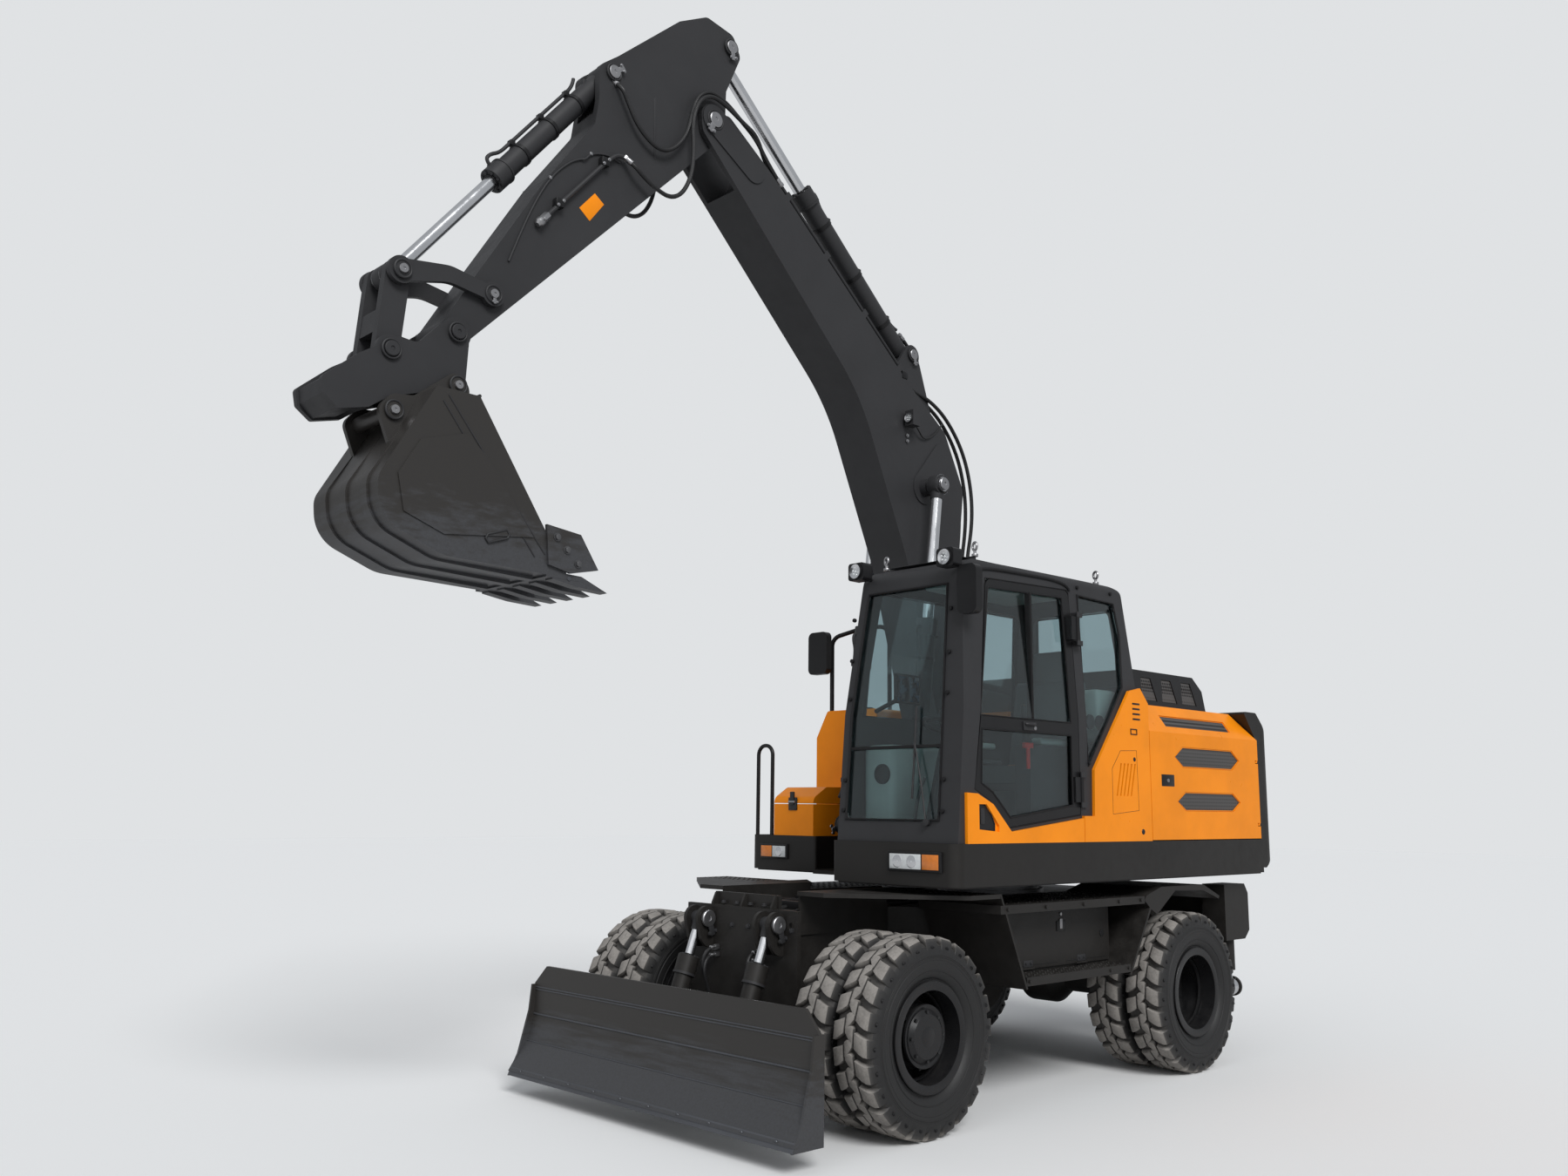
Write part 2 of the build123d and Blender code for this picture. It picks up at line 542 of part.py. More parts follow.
stab_rod = bar((STAB_EYE[0], STAB_Y, STAB_EYE[1]), (STAB_EYE[0], STAB_Y, STAB_HEAD[1] - STAB_PIN_R - 30),
               28)
stab_rod += along(xz(STAB_EYE, 62), STAB_Y - 36, STAB_Y + 36)
node("stabiliser_beam_left", stab_beam)
node("stabiliser_beam_right", mirror(stab_beam, about=Plane.YZ))
node("stabiliser_rod_left", stab_rod)
node("stabiliser_rod_right", mirror(stab_rod, about=Plane.YZ))

# ---- blade ---------------------------------------------------------------------------
BLADE_TOP = (-2669.0, 746.0)
BLADE_TOE = (-2848.0, 136.0)
BLADE_BENDS = ((-2682.0, 612.0), (-2688.0, 459.0), (-2731.0, 307.0))
board_back = [(bend_y + BLADE_SKIN, bend_z) for bend_y, bend_z in reversed(BLADE_BENDS)]
moldboard = outline(BLADE_TOP, *BLADE_BENDS, BLADE_TOE, (BLADE_TOE[0] + BLADE_SKIN + 8, BLADE_TOE[1]),
                    *board_back,
                    (BLADE_TOP[0] + BLADE_SKIN, BLADE_TOP[1]))
blade = across(moldboard, -BLADE_W / 2, BLADE_W / 2)
corner_cut = outline((BLADE_W / 2 - 120, 760), (BLADE_W / 2 + 10, 630), (BLADE_W / 2 + 10, 760))
blade -= along(corner_cut, -2900, -2500)
blade -= mirror(along(corner_cut, -2900, -2500), about=Plane.YZ)
end_face = outline((-2636, 634), (-2706, 634), (-2722, 480), (-2790, 232), (-2852, 110), (-2640, 110))
for low, high in ((BLADE_W / 2 - 16, BLADE_W / 2), (-BLADE_W / 2, -BLADE_W / 2 + 16)):
    blade += across(end_face, low, high)
blade += block((-1180, 1180), (-2668, -2600), (560, 640))
blade += block((-1180, 1180), (-2700, -2600), (230, 330))
for rib_x in (-1100, -700, 0, 700, 1100):
    blade += across(outline((-2668, 330), (-2600, 330), (-2600, 560), (-2662, 560)), rib_x - 8, rib_x + 8)
arm_face = outline((-2601, 640), (-2601, 230), (-2420, 270), (-2180, 400, 40), (-2120, 480),
                   (-2200, 560, 60), (-2400, 520))
arm_face = arm_face + disc(BLADE_PIVOT, 62)
for middle_x in (-BLADE_CYL_X, BLADE_CYL_X):
    for inner, outer in ((BLADE_FORK, BLADE_FORK + 24), (-BLADE_FORK - 24, -BLADE_FORK)):
        blade += across(arm_face, middle_x + inner, middle_x + outer)
        blade -= shaft(middle_x + inner - 1, middle_x + outer + 1, BLADE_PIVOT, PIN_R + RUN)
    blade += shaft(middle_x - BLADE_FORK - 1, middle_x + BLADE_FORK + 1, BLADE_CYL_LOW, 30)
node("blade", blade)
blade_barrels = []
blade_rods = []
for middle_x in (-BLADE_CYL_X, BLADE_CYL_X):
    blade_barrels.append(barrel(middle_x, BLADE_CYL_LOW, BLADE_CYL_TOP, 530, 55, 52, 84, 30, 28))
    blade_rods.append(rod(middle_x, BLADE_CYL_LOW, BLADE_CYL_TOP, 320, 28, 42, 72))
node("blade_barrels", *blade_barrels)
node("blade_rods", *blade_rods)

# ---- upper frame ---------------------------------------------------------------------
inner_side = UPPER_X - SKIRT_WALL - FIT
frame_plan = outline((inner_side, CAB_FRONT_Y + 26, 46), (inner_side, BODY_REAR_Y - FIT),
                     (-inner_side, BODY_REAR_Y - FIT),
                     (-inner_side, BOX_FRONT_Y + 26, 36), (BOX_INNER_X + 6, BOX_FRONT_Y + 26),
                     (BOX_INNER_X + 60, WELL_Y), (CAB_INNER_X - 60, WELL_Y), (CAB_INNER_X - 6, WELL_Y - 60),
                     (CAB_INNER_X + 26, WELL_Y - 60), (CAB_INNER_X + 26, CAB_FRONT_Y + 26))
plate_top = FRAME_Z + FRAME_PLATE
upper_frame = upright(frame_plan, FRAME_Z, plate_top)
seat_z = SKIRT_Z[1] - FIT
beam_end = SEAM_Y - CLEAR
upper_frame += block((inner_side - 80, inner_side), (CAB_FRONT_Y + 80, BODY_REAR_Y - FIT),
                     (plate_top - 1, seat_z))
upper_frame += block((-inner_side, -inner_side + 80), (BOX_FRONT_Y + 70, BODY_REAR_Y - FIT),
                     (plate_top - 1, seat_z))
upper_frame += block((CAB_INNER_X + 26, CAB_INNER_X + 106), (CAB_FRONT_Y + 26, beam_end),
                     (plate_top - 1, seat_z))
upper_frame += block((BOX_INNER_X - 106, BOX_INNER_X - 26), (BOX_FRONT_Y + 26, beam_end),
                     (plate_top - 1, seat_z))
tower_inner = BOOM_W / 2 + CLEAR
tower_outer = tower_inner + 34
tower_face = outline((-860, plate_top - 1), (-850, 1560, 60), (-640, 1760, 120), (-230, 1980, 60),
                     (140, 1980, 90),
                     (beam_end, 1760), (beam_end, plate_top - 1))
tower_face = tower_face + disc(BOOM_CYL_FOOT, 85)
for low, high in ((BOOM_X + tower_inner, BOOM_X + tower_outer),
                  (BOOM_X - tower_outer, BOOM_X - tower_inner)):
    upper_frame += across(tower_face, low, high)
upper_frame += shaft(BOOM_X - tower_outer - 18, BOOM_X + tower_outer + 18, BOOM_FOOT, 45)
upper_frame += shaft(BOOM_X - BOOM_CYL_OFFSET - 60, BOOM_X + BOOM_CYL_OFFSET + 60, BOOM_CYL_FOOT, PIN_R)
upper_frame += block((BOOM_X - tower_inner - 1, BOOM_X + tower_inner + 1), (beam_end - 30, beam_end),
                     (plate_top - 1, 1640))
node("upper_frame", upper_frame)

# Skirt band round the upper frame, bevelled along its lower edge.
left_band = outline((UPPER_X, CAB_FRONT_Y, 70), (UPPER_X, BODY_REAR_Y - FIT),
                    (UPPER_X - SKIRT_WALL, BODY_REAR_Y - FIT),
                    (UPPER_X - SKIRT_WALL, CAB_FRONT_Y + SKIRT_WALL, 45),
                    (CAB_INNER_X + SKIRT_WALL, CAB_FRONT_Y + SKIRT_WALL),
                    (CAB_INNER_X + SKIRT_WALL, WELL_Y - 70), (CAB_INNER_X, WELL_Y - 70),
                    (CAB_INNER_X, CAB_FRONT_Y, 20))
right_band = outline((-UPPER_X, BOX_FRONT_Y, 60), (-UPPER_X, BODY_REAR_Y - FIT),
                     (-UPPER_X + SKIRT_WALL, BODY_REAR_Y - FIT),
                     (-UPPER_X + SKIRT_WALL, BOX_FRONT_Y + SKIRT_WALL, 35),
                     (BOX_INNER_X - SKIRT_WALL, BOX_FRONT_Y + SKIRT_WALL),
                     (BOX_INNER_X, BOX_FRONT_Y + SKIRT_WALL), (BOX_INNER_X, BOX_FRONT_Y, 20))
left_skirt = upright(left_band, SKIRT_Z[0] - 40, SKIRT_Z[1])
right_skirt = upright(right_band, SKIRT_Z[0] - 40, SKIRT_Z[1])
node("skirt", left_skirt, right_skirt)

# Counterweight, curved across its back.
weight_side = outline((*WEIGHT_SHOULDER, 15), WEIGHT_BEND, (BODY_REAR_Y, SKIRT_Z[1] + 60),
                      (BODY_REAR_Y, SKIRT_Z[0]),
                      (2070, 1330, 40), (2290, 1480, 90), (2170, 2330, 90), (2010, 2477, 40))
WEIGHT_X = UPPER_X - 13
weight_plan = outline((-WEIGHT_X, 1700), (WEIGHT_X, 1700), (WEIGHT_X, 2235, 150), (400, 2292, 2000),
                      (-400, 2292, 2000),
                      (-WEIGHT_X, 2235, 150))
counterweight = across(weight_side, -WEIGHT_X, WEIGHT_X) & upright(weight_plan, 1200, 2600)
node("counterweight", counterweight)
node("engine", block((-450, 650), (900, 1700), (plate_top + FIT, 2150)))

# ---- rear body -----------------------------------------------------------------------
top_low = BODY_TOP - 15
hood_x = (-560.0, 950.0)
hood_y = (830.0, 1790.0)
BODY_HALF = 1075.0
body = block((-BODY_HALF, BODY_HALF), (SEAM_Y, 1806), (top_low, BODY_TOP))
body -= block((hood_x[0] + 40, hood_x[1] - 40), (hood_y[0] + 40, hood_y[1] - 40),
              (top_low - 1, BODY_TOP + 1))
bulkhead = outline((-1120, plate_top + FIT), (-1120, 2340), (-BODY_HALF, BODY_TOP), (BODY_HALF, BODY_TOP),
                   (1120, 2340),
                   (1120, plate_top + FIT))
body += along(bulkhead, SEAM_Y, SEAM_Y + 15)
body += block((-BODY_HALF, BODY_HALF), (1940, 1975), (BODY_BEND_Z - 130, BODY_BEND_Z - 40))
post_face = outline((1771, top_low + 1), (1806, top_low + 1), (1806, BODY_BEND_Z + 20),
                    (1975, BODY_BEND_Z - 40),
                    (1975, plate_top + FIT), (1940, plate_top + FIT), (1940, BODY_BEND_Z - 60),
                    (1771, BODY_BEND_Z))
for low, high in ((BODY_HALF - 40, BODY_HALF), (-BODY_HALF, -BODY_HALF + 40)):
    body += across(post_face, low, high)

# Side doors, bent along the shoulder, hinged at the rear.
door_face = outline((UPPER_X, SKIRT_Z[1] + CLEAR), (UPPER_X, BODY_BEND_Z), (1110, BODY_TOP + 12),
                    (1095, BODY_TOP + 2),
                    (UPPER_X - PANEL, BODY_BEND_Z - 8), (UPPER_X - PANEL, SKIRT_Z[1] + CLEAR))
door_rear = WEIGHT_BEND[0] - 1.5 * CLEAR
side_door = along(door_face, SEAM_Y + CLEAR, door_rear)
side_door &= across(outline((0, 0), (door_rear, 0), (door_rear, WEIGHT_BEND[1]),
                            (WEIGHT_SHOULDER[0] - 1.5 * CLEAR, WEIGHT_SHOULDER[1]),
                            (0, WEIGHT_SHOULDER[1])), 1000, 1300)
GRILLES = (
    # y low, y high, z low, z high
    (779.0, 1694.0, 2035.0, 2177.0),
    (798.0, 1690.0, 1738.0, 1869.0),
)
GRILLE_SLANT = 110.0
GRILLE_DEEP = 8.0
SHOULDER_GRILLE = (734.0, 1639.0, 2312.0, 2392.0)
LOUVRES = 6
for y_low, y_high, z_low, z_high in GRILLES:
    middle = (z_low + z_high) / 2
    recess = outline((y_low + GRILLE_SLANT, z_low), (y_high - GRILLE_SLANT, z_low), (y_high, middle),
                     (y_high - GRILLE_SLANT, z_high), (y_low + GRILLE_SLANT, z_high), (y_low, middle))
    side_door -= across(recess, UPPER_X - GRILLE_DEEP, UPPER_X + 10)
    louvre = (y_high - y_low - 2 * GRILLE_SLANT + 60) / LOUVRES
    for index in range(LOUVRES):
        start = y_low + GRILLE_SLANT - 30 + index * louvre
        side_door -= block((UPPER_X - 40, UPPER_X), (start + 12, start + louvre - 12),
                           (z_low + 16, z_high - 16))
shoulder_run = (BODY_TOP + 12 - BODY_BEND_Z) / (UPPER_X - 1110)


def shoulder_x(z):
    """Outer surface of the slanted shoulder at a height."""
    return UPPER_X - (z - BODY_BEND_Z) / shoulder_run


y_low, y_high, z_low, z_high = SHOULDER_GRILLE
lean = atan2(1, shoulder_run)
dip = (GRILLE_DEEP * cos(lean), GRILLE_DEEP * sin(lean))
recess = outline((shoulder_x(z_low) - dip[0], z_low - dip[1]),
                 (shoulder_x(z_high) - dip[0], z_high - dip[1]),
                 (shoulder_x(z_high) + 20, z_high + 10), (shoulder_x(z_low) + 20, z_low + 10))
side_door -= along(recess, y_low, y_high)
louvre = (y_high - y_low) / LOUVRES
for index in range(LOUVRES):
    start = y_low + index * louvre
    side_door -= block((1100, 1300), (start + 14, start + louvre - 14), (z_low + 18, z_high - 22))
SIDE_DOOR_HINGE = (UPPER_X - 8, door_rear - 8)
for bracket_z in (1640.0, 2100.0):
    bracket_top = bracket_z + 12
    arm_plan = outline((BODY_HALF - 20, 1941), (BODY_HALF - 20, 1970),
                       (SIDE_DOOR_HINGE[0], SIDE_DOOR_HINGE[1] + 8),
                       (SIDE_DOOR_HINGE[0] + 8, SIDE_DOOR_HINGE[1]),
                       (SIDE_DOOR_HINGE[0], SIDE_DOOR_HINGE[1] - 12))
    bracket = upright(arm_plan, bracket_z, bracket_top)
    bracket += bar((*SIDE_DOOR_HINGE, bracket_top), (*SIDE_DOOR_HINGE, bracket_top + 40), 5)
    for piece in both_sides(bracket):
        body += piece
    side_door -= block((1150, 1300), (SIDE_DOOR_HINGE[1] - 34, 2100),
                       (bracket_z - CLEAR, bracket_top + CLEAR))
    side_door += bar((*SIDE_DOOR_HINGE, bracket_top + FIT), (*SIDE_DOOR_HINGE, bracket_top + 60), 8)
    side_door -= bar((*SIDE_DOOR_HINGE, bracket_top - 1), (*SIDE_DOOR_HINGE, bracket_top + 45), 5 + RUN)
HOOD_HINGE = (hood_y[0] - 14, BODY_TOP + 16)
HOOD_KNUCKLE = 60.0
hood_knuckles = []
for knuckle_x in (hood_x[0] + 120, hood_x[1] - 180):
    hood_knuckles.append(shaft(knuckle_x, knuckle_x + HOOD_KNUCKLE, HOOD_HINGE, 11))
    hood_knuckles.append(block((knuckle_x, knuckle_x + HOOD_KNUCKLE), (HOOD_HINGE[0], hood_y[0] + 1),
                               (HOOD_HINGE[1] - 8, HOOD_HINGE[1] + 8)))
    for low, high in ((knuckle_x - 30, knuckle_x - RUN),
                      (knuckle_x + HOOD_KNUCKLE + RUN, knuckle_x + HOOD_KNUCKLE + 30)):
        body += shaft(low, high, HOOD_HINGE, 11)
        body += block((low, high), (HOOD_HINGE[0] - 9, HOOD_HINGE[0] + 9), (BODY_TOP - 1, HOOD_HINGE[1]))
node("rear_body", body)
node("side_door_left", side_door)
node("side_door_right", mirror(side_door, about=Plane.YZ))

hood_section = outline((hood_x[0], BODY_TOP + FIT), (hood_x[0] + 50, 2740), (hood_x[1] - 50, 2740),
                       (hood_x[1], BODY_TOP + FIT))
hood_flank = outline((hood_y[0], BODY_TOP), (hood_y[0], 2745), (hood_y[1] - 110, 2745), (hood_y[1], 2640),
                     (hood_y[1], BODY_TOP))
hood_inner = outline((hood_x[0] + 14, BODY_TOP - 1), (hood_x[0] + 62, 2726), (hood_x[1] - 62, 2726),
                     (hood_x[1] - 14, BODY_TOP - 1))
hood_flank_in = outline((hood_y[0] + 14, BODY_TOP - 1), (hood_y[0] + 14, 2731), (hood_y[1] - 118, 2731),
                        (hood_y[1] - 14, 2634), (hood_y[1] - 14, BODY_TOP - 1))
hood = along(hood_section, *hood_y) & across(hood_flank, -1000, 1000)
hood -= along(hood_inner, *hood_y) & across(hood_flank_in, -1000, 1000)
for slot_y in (900, 1180, 1460):
    slot = outline((slot_y, 2520), (slot_y + 210, 2520), (slot_y + 170, 2690), (slot_y + 40, 2690))
    hood -= across(slot, -1000, 1100)
for piece in hood_knuckles:
    hood += piece
node("engine_hood", hood)

# Orange left panel under the door and up the slanted window edge, rear edge at the seam.
cab_panel = outline((-1497, SKIRT_Z[1] + FIT), (-1497, 1826), (-1400, 1822), (-1257, 1763), (-1085, 1606),
                    (-335, 1686),
                    (-335, SKIRT_Z[1] + FIT))
side_sheet = outline((-329, SKIRT_Z[1] + FIT), (-329, 1700), (-215, 1700), (-205, 1990), (232, 2520),
                     (366, 2547), (SEAM_Y - FIT, 2450),
                     (SEAM_Y - FIT, SKIRT_Z[1] + FIT))
pocket = outline((-1390, 1620), (-1390, 1762), (-1320, 1762), (-1205, 1640), (-1205, 1606))
panel_low = UPPER_X - PANEL
cab_panel = across(cab_panel, panel_low, UPPER_X) - across(pocket, UPPER_X - 14, UPPER_X + 1)
side_sheet = across(side_sheet, panel_low, UPPER_X)
for slot in range(5):
    base_y = 40 + slot * 42
    slash = outline((base_y, 1830), (base_y + 14, 1830), (base_y + 74, 2040), (base_y + 60, 2040))
    side_sheet -= across(slash, UPPER_X - 12, UPPER_X + 1)
node("side_panel", cab_panel, side_sheet)

# Fuel tank, toolbox and its lid on the right.
tank_z = (SKIRT_Z[1] + FIT, 2470)
tank_face = outline((-UPPER_X, tank_z[0]), (-UPPER_X, BODY_BEND_Z), (-1130, tank_z[1], 30),
                    (BOX_INNER_X - 30, tank_z[1], 30),
                    (BOX_INNER_X - 30, tank_z[0]))
node("fuel_tank", along(tank_face, TANK_FRONT_Y, SEAM_Y - FIT))
box_top = 1880.0
tool_x = (-1017.0, BOX_INNER_X - 30)
tool_y = (BOX_FRONT_Y + 10, TANK_FRONT_Y - FIT)
lid_split = 1760.0
tool_side = outline((tool_y[0], tank_z[0]), (tool_y[0], 1800, 60), (tool_y[0] + 130, box_top, 60),
                    (tool_y[1], box_top), (tool_y[1], tank_z[0]))
tool_in = outline((tool_y[0] + 14, tank_z[0] + 14), (tool_y[0] + 14, 1794, 50),
                  (tool_y[0] + 136, box_top - 14, 50), (tool_y[1] - 14, box_top - 14),
                  (tool_y[1] - 14, tank_z[0] + 14))
toolbox = across(tool_side, *tool_x) - across(tool_in, tool_x[0] + 14, tool_x[1] - 14)
wall_in = tool_y[1] - 14
TOOL_HINGE = (wall_in - CLEAR / 2, box_top + 4)
lid_cut = block((-1200, 0), (-1200, wall_in), (lid_split, 2000))
lid_zone = block((-1200, 0), (-1200, wall_in - CLEAR), (lid_split + CLEAR, 2000))
tool_base = toolbox - lid_cut
tool_lid = toolbox & lid_zone
for index in range(5):
    start = tool_x[0] + 40 + index * 64
    knuckle = shaft(start + RUN, start + 64 - RUN, TOOL_HINGE, 7)
    relief = shaft(start, start + 64, TOOL_HINGE, 8)
    if index % 2:
        tool_lid += knuckle
        tool_base -= relief
    else:
        tool_base += knuckle
        tool_lid -= relief
node("toolbox", tool_base)
node("toolbox_lid", tool_lid)

# ---- cab -----------------------------------------------------------------------------
CAB_WALL = 45.0
CAB_Z = (SKIRT_Z[1] + FIT, 3235.0)
cab_side_x = UPPER_X - PANEL - FIT


def cab_volume(inset):
    """Cab body as a front section and a side section that cut each other."""
    low = CAB_Z[0] + inset
    section = outline((CAB_INNER_X + inset, low), (cab_side_x - inset, low), (cab_side_x - inset, 2300),
                      (1165 - inset, 3235 - inset, 60), (395 + inset, 3235 - inset, 60),
                      (CAB_INNER_X + inset, 2300))
    flank = outline((-1560 + inset, low), (-1545 + inset, 1700), (-1425 + inset, 3160 - inset, 90),
                    (-1330, 3205 - inset), (180, 3235 - inset), (285 - inset, 3200 - inset, 60),
                    (366 - inset, 2547),
                    (366 - inset, low))
    return along(section, -1700, 500) & across(flank, 0, 1400)


cab = cab_volume(0) - cab_volume(CAB_WALL)
WINDSHIELD = outline((345, 1660, 70), (1085, 1660, 70), (1075, 3060, 50), (435, 3060, 50), (345, 2300))
cab -= along(WINDSHIELD, -1700, -1300)
DOOR_FACE = outline((-1400, 1850), (-1265, 1790), (-1090, 1632), (-345, 1710), (-345, 3130, 40),
                    (-1207, 3100, 60))
door_hole = outline((-1406, 1846), (-1266, 1784), (-1092, 1622), (-339, 1702), (-339, 3138, 44),
                    (-1220, 3108, 64))
cab -= across(door_hole, 1000, 1300)
QUARTER = outline((-250, 2010), (-250, 3120, 30), (180, 3110, 60), (225, 2900), (205, 2540))
cab -= across(QUARTER, 1000, 1300)
RIGHT_WINDOW = outline((-1380, 2300), (-1290, 3090, 60), (150, 3090, 60), (220, 2300))
cab -= across(RIGHT_WINDOW, 200, 600)
REAR_WINDOW = outline((420, 2560), (470, 3080, 60), (1080, 3080, 60), (1120, 2560))
cab -= along(REAR_WINDOW, 100, 500)
PANE = 6.0
outer_skin = cab_volume(12) - cab_volume(12 + PANE)


def pane(shape):
    """Window pane: the part of a thin skin that lies inside an opening."""
    return outer_skin & shape


windshield = pane(along(WINDSHIELD, -1700, -1300))
windshield_low = windshield & block((200, 1200), (-1700, -1200), (1500, 2085))
windshield_high = windshield & block((200, 1200), (-1700, -1200), (2100, 3200))
quarter_pane = pane(across(QUARTER, 1000, 1300))
right_pane = pane(across(RIGHT_WINDOW, 200, 600))
rear_pane = pane(along(REAR_WINDOW, 100, 500))
node("cab_glass", windshield_low, windshield_high, quarter_pane, right_pane, rear_pane)

door_skin = cab_volume(0) - cab_volume(36)
door = door_skin & across(DOOR_FACE, 1000, 1300)
upper_light = outline((-1345, 2270, 30), (-1195, 3055, 40), (-420, 3080, 40), (-420, 2270, 30))
lower_light = outline((-1330, 2200), (-1345, 1880), (-1240, 1830), (-1070, 1680), (-420, 1760),
                      (-420, 2200))
door -= across(upper_light, 1000, 1300)
door -= across(lower_light, 1000, 1300)
door_panes = (cab_volume(14) - cab_volume(14 + PANE)) & across(upper_light + lower_light, 1000, 1300)
HINGE_X = cab_side_x + 16
HINGE_Y = -342.0
for low, high in ((1784, 1939), (2804, 2954)):
    door += block((HINGE_X - 60, HINGE_X), (-412, HINGE_Y - 4), (low, high)) & across(DOOR_FACE, 1000, 1300)
    door += bar((HINGE_X, HINGE_Y, low), (HINGE_X, HINGE_Y, high), 12)
    for start, finish in ((low - 32, low - RUN), (high + RUN, high + 32)):
        cab += block((HINGE_X - 60, HINGE_X), (-334, -290),
                     (start, finish)) + bar((HINGE_X, HINGE_Y, start), (HINGE_X, HINGE_Y, finish), 12)
node("cab_door", door)
node("door_glass", door_panes)
node("cab_shell", cab)

# Seat and controls.
seat = block((560, 1000), (-560, -60), (CAB_Z[0] + CAB_WALL + FIT, 1900))
seat += block((520, 1040), (-640, -80), (1899, 2010))
seat += across(outline((-170, 1960), (-60, 1960), (60, 2580, 40), (-50, 2600, 40)), 540, 1020)
seat += across(outline((-50, 2560), (50, 2540), (95, 2790, 30), (5, 2800, 30)), 650, 910)
node("operator_seat", seat)
floor_z = CAB_Z[0] + CAB_WALL + FIT
controls = []
for low, high in ((400, 512), (1048, 1160)):
    controls.append(block((low, high), (-780, -180), (floor_z, 2130)))
column = bar((780, -1250, floor_z), (780, -1060, 2200), 55)
column += bar((780, -1067, 2150), (780, -1056, 2215), 30)
wheel_plane = Plane(origin=(780, -1050, 2240), z_dir=(0, 0.28, 1))
column += wheel_plane * Torus(180, 15) + wheel_plane * Box(350, 40, 20) + wheel_plane * Cylinder(45, 60)
controls.append(column - block((0, 2000), (-2000, 0), (0, floor_z)))
node("cab_controls", *controls)

# Mirrors, handrails and lamps.
RAIL_R = 17.0


def tube(points, radius, bend):
    """Bent tube through points in space."""
    path = FilletPolyline(*points, radius=bend)
    start = Plane(origin=path @ 0, z_dir=path % 0)
    return sweep(start * Circle(radius), path)


loop = tube(((-1205, -845, SKIRT_Z[1] + FIT), (-1205, -845, 2180), (-1055, -845, 2180),
             (-1055, -845, SKIRT_Z[1] + FIT)), 14, 70)
grab_z = tank_z[1] + FIT
grab = tube(((-1180, -100, grab_z), (-1180, -100, 3050), (-1000, 60, 3130), (-760, 100, 3130),
             (-760, 100, grab_z)), RAIL_R, 90)
mirror_right = fillet(block((-1330, -1130), (-215, -160), (2760, 3090)).edges().filter_by(Axis.Y), 45)
mirror_right += bar((-1230, -161, 2850), (-1180, -100, 2850), 12)
rails = [loop, grab + mirror_right]
mirror_left = fillet(block((1190, 1330), (-1500, -1440), (2850, 3140)).edges().filter_by(Axis.Y), 40)
mirror_left += bar((1230, -1445, 3000), (1150, -1380, 3000), 14) - cab_volume(-FIT)
rails.append(mirror_left)
node("rails_mirrors", *rails)

lamps = []
for lamp_x in (440.0, 1150.0):
    lamp = fillet(block((lamp_x - 65, lamp_x + 65), (-1560, -1480),
                        (3130, 3240)).edges().filter_by(Axis.Y), 20)
    lamp += bar((lamp_x, -1500, 3150), (lamp_x, -1395, 3150), 12)
    lamps.append(lamp - cab_volume(-FIT))
for lamp_x, lamp_y, lamp_z in (((748, 1145), CAB_FRONT_Y, (1377, 1492)),
                               ((-1136, -856), BOX_FRONT_Y, (1375, 1479))):
    front = block(lamp_x, (lamp_y - 18, lamp_y - FIT), lamp_z)
    lamps.append(chamfer(front.faces().sort_by(Axis.Y)[0].edges(), 7))
node("work_lamps", *lamps)

# ---- boom ----------------------------------------------------------------------------
boom_face = outline((-170, 1830, 60), (95, 1800, 80), (120, 2000), (-70, 3557, 300), (-10, 4040, 160),
                    (-215, 4440, 120),
                    (-600, 4708), (-1965, 5823, 200), (-2345, 6085, 60), (-2590, 6040, 90),
                    (-2560, 5905, 60), (-1120, 4520, 1400),
                    (-640, 3440, 600))
boom_face = boom_face + disc(BOOM_FOOT, 135) + disc(BOOM_TIP, 108)
boom = across(boom_face, BOOM_X - BOOM_W / 2, BOOM_X + BOOM_W / 2)
boom -= across(disc(BOOM_TIP, 440), BOOM_X - FORK_GAP, BOOM_X + FORK_GAP)
boom -= shaft(BOOM_X - BOOM_W, BOOM_X + BOOM_W, BOOM_FOOT, 45 + RUN)
boom += shaft(BOOM_X - FORK_GAP - 34, BOOM_X + FORK_GAP + 34, BOOM_TIP, 45)
for inner, outer in ((BOOM_W / 2 - 1, BOOM_W / 2 + 60), (-BOOM_W / 2 - 60, -BOOM_W / 2 + 1)):
    boom += shaft(BOOM_X + inner, BOOM_X + outer, BOOM_CYL_PIN, 62)
cyl_ear = outline((-570, 5010), (-720, 4790), (-500, 4600), (-260, 4460),
                  (-435, 4960)) + disc(ARM_CYL_FOOT, 75)
ear_low = ARM_CYL_R + 10
for plate in pair_about_boom(cyl_ear, ear_low, ear_low + 26):
    boom += plate
boom += shaft(BOOM_X - ear_low - 38, BOOM_X + ear_low + 38, ARM_CYL_FOOT, PIN_R)
CHEEK = 8.0
pin_cheek = link_face(BOOM_CYL_PIN, 118, (-262, 4250), 92)
tip_cheek = link_face(BOOM_TIP, 100, (-2130, 5795), 88)
for face in (pin_cheek, tip_cheek):
    for plate in pair_about_boom(face, BOOM_W / 2 - 1, BOOM_W / 2 + CHEEK):
        boom += plate
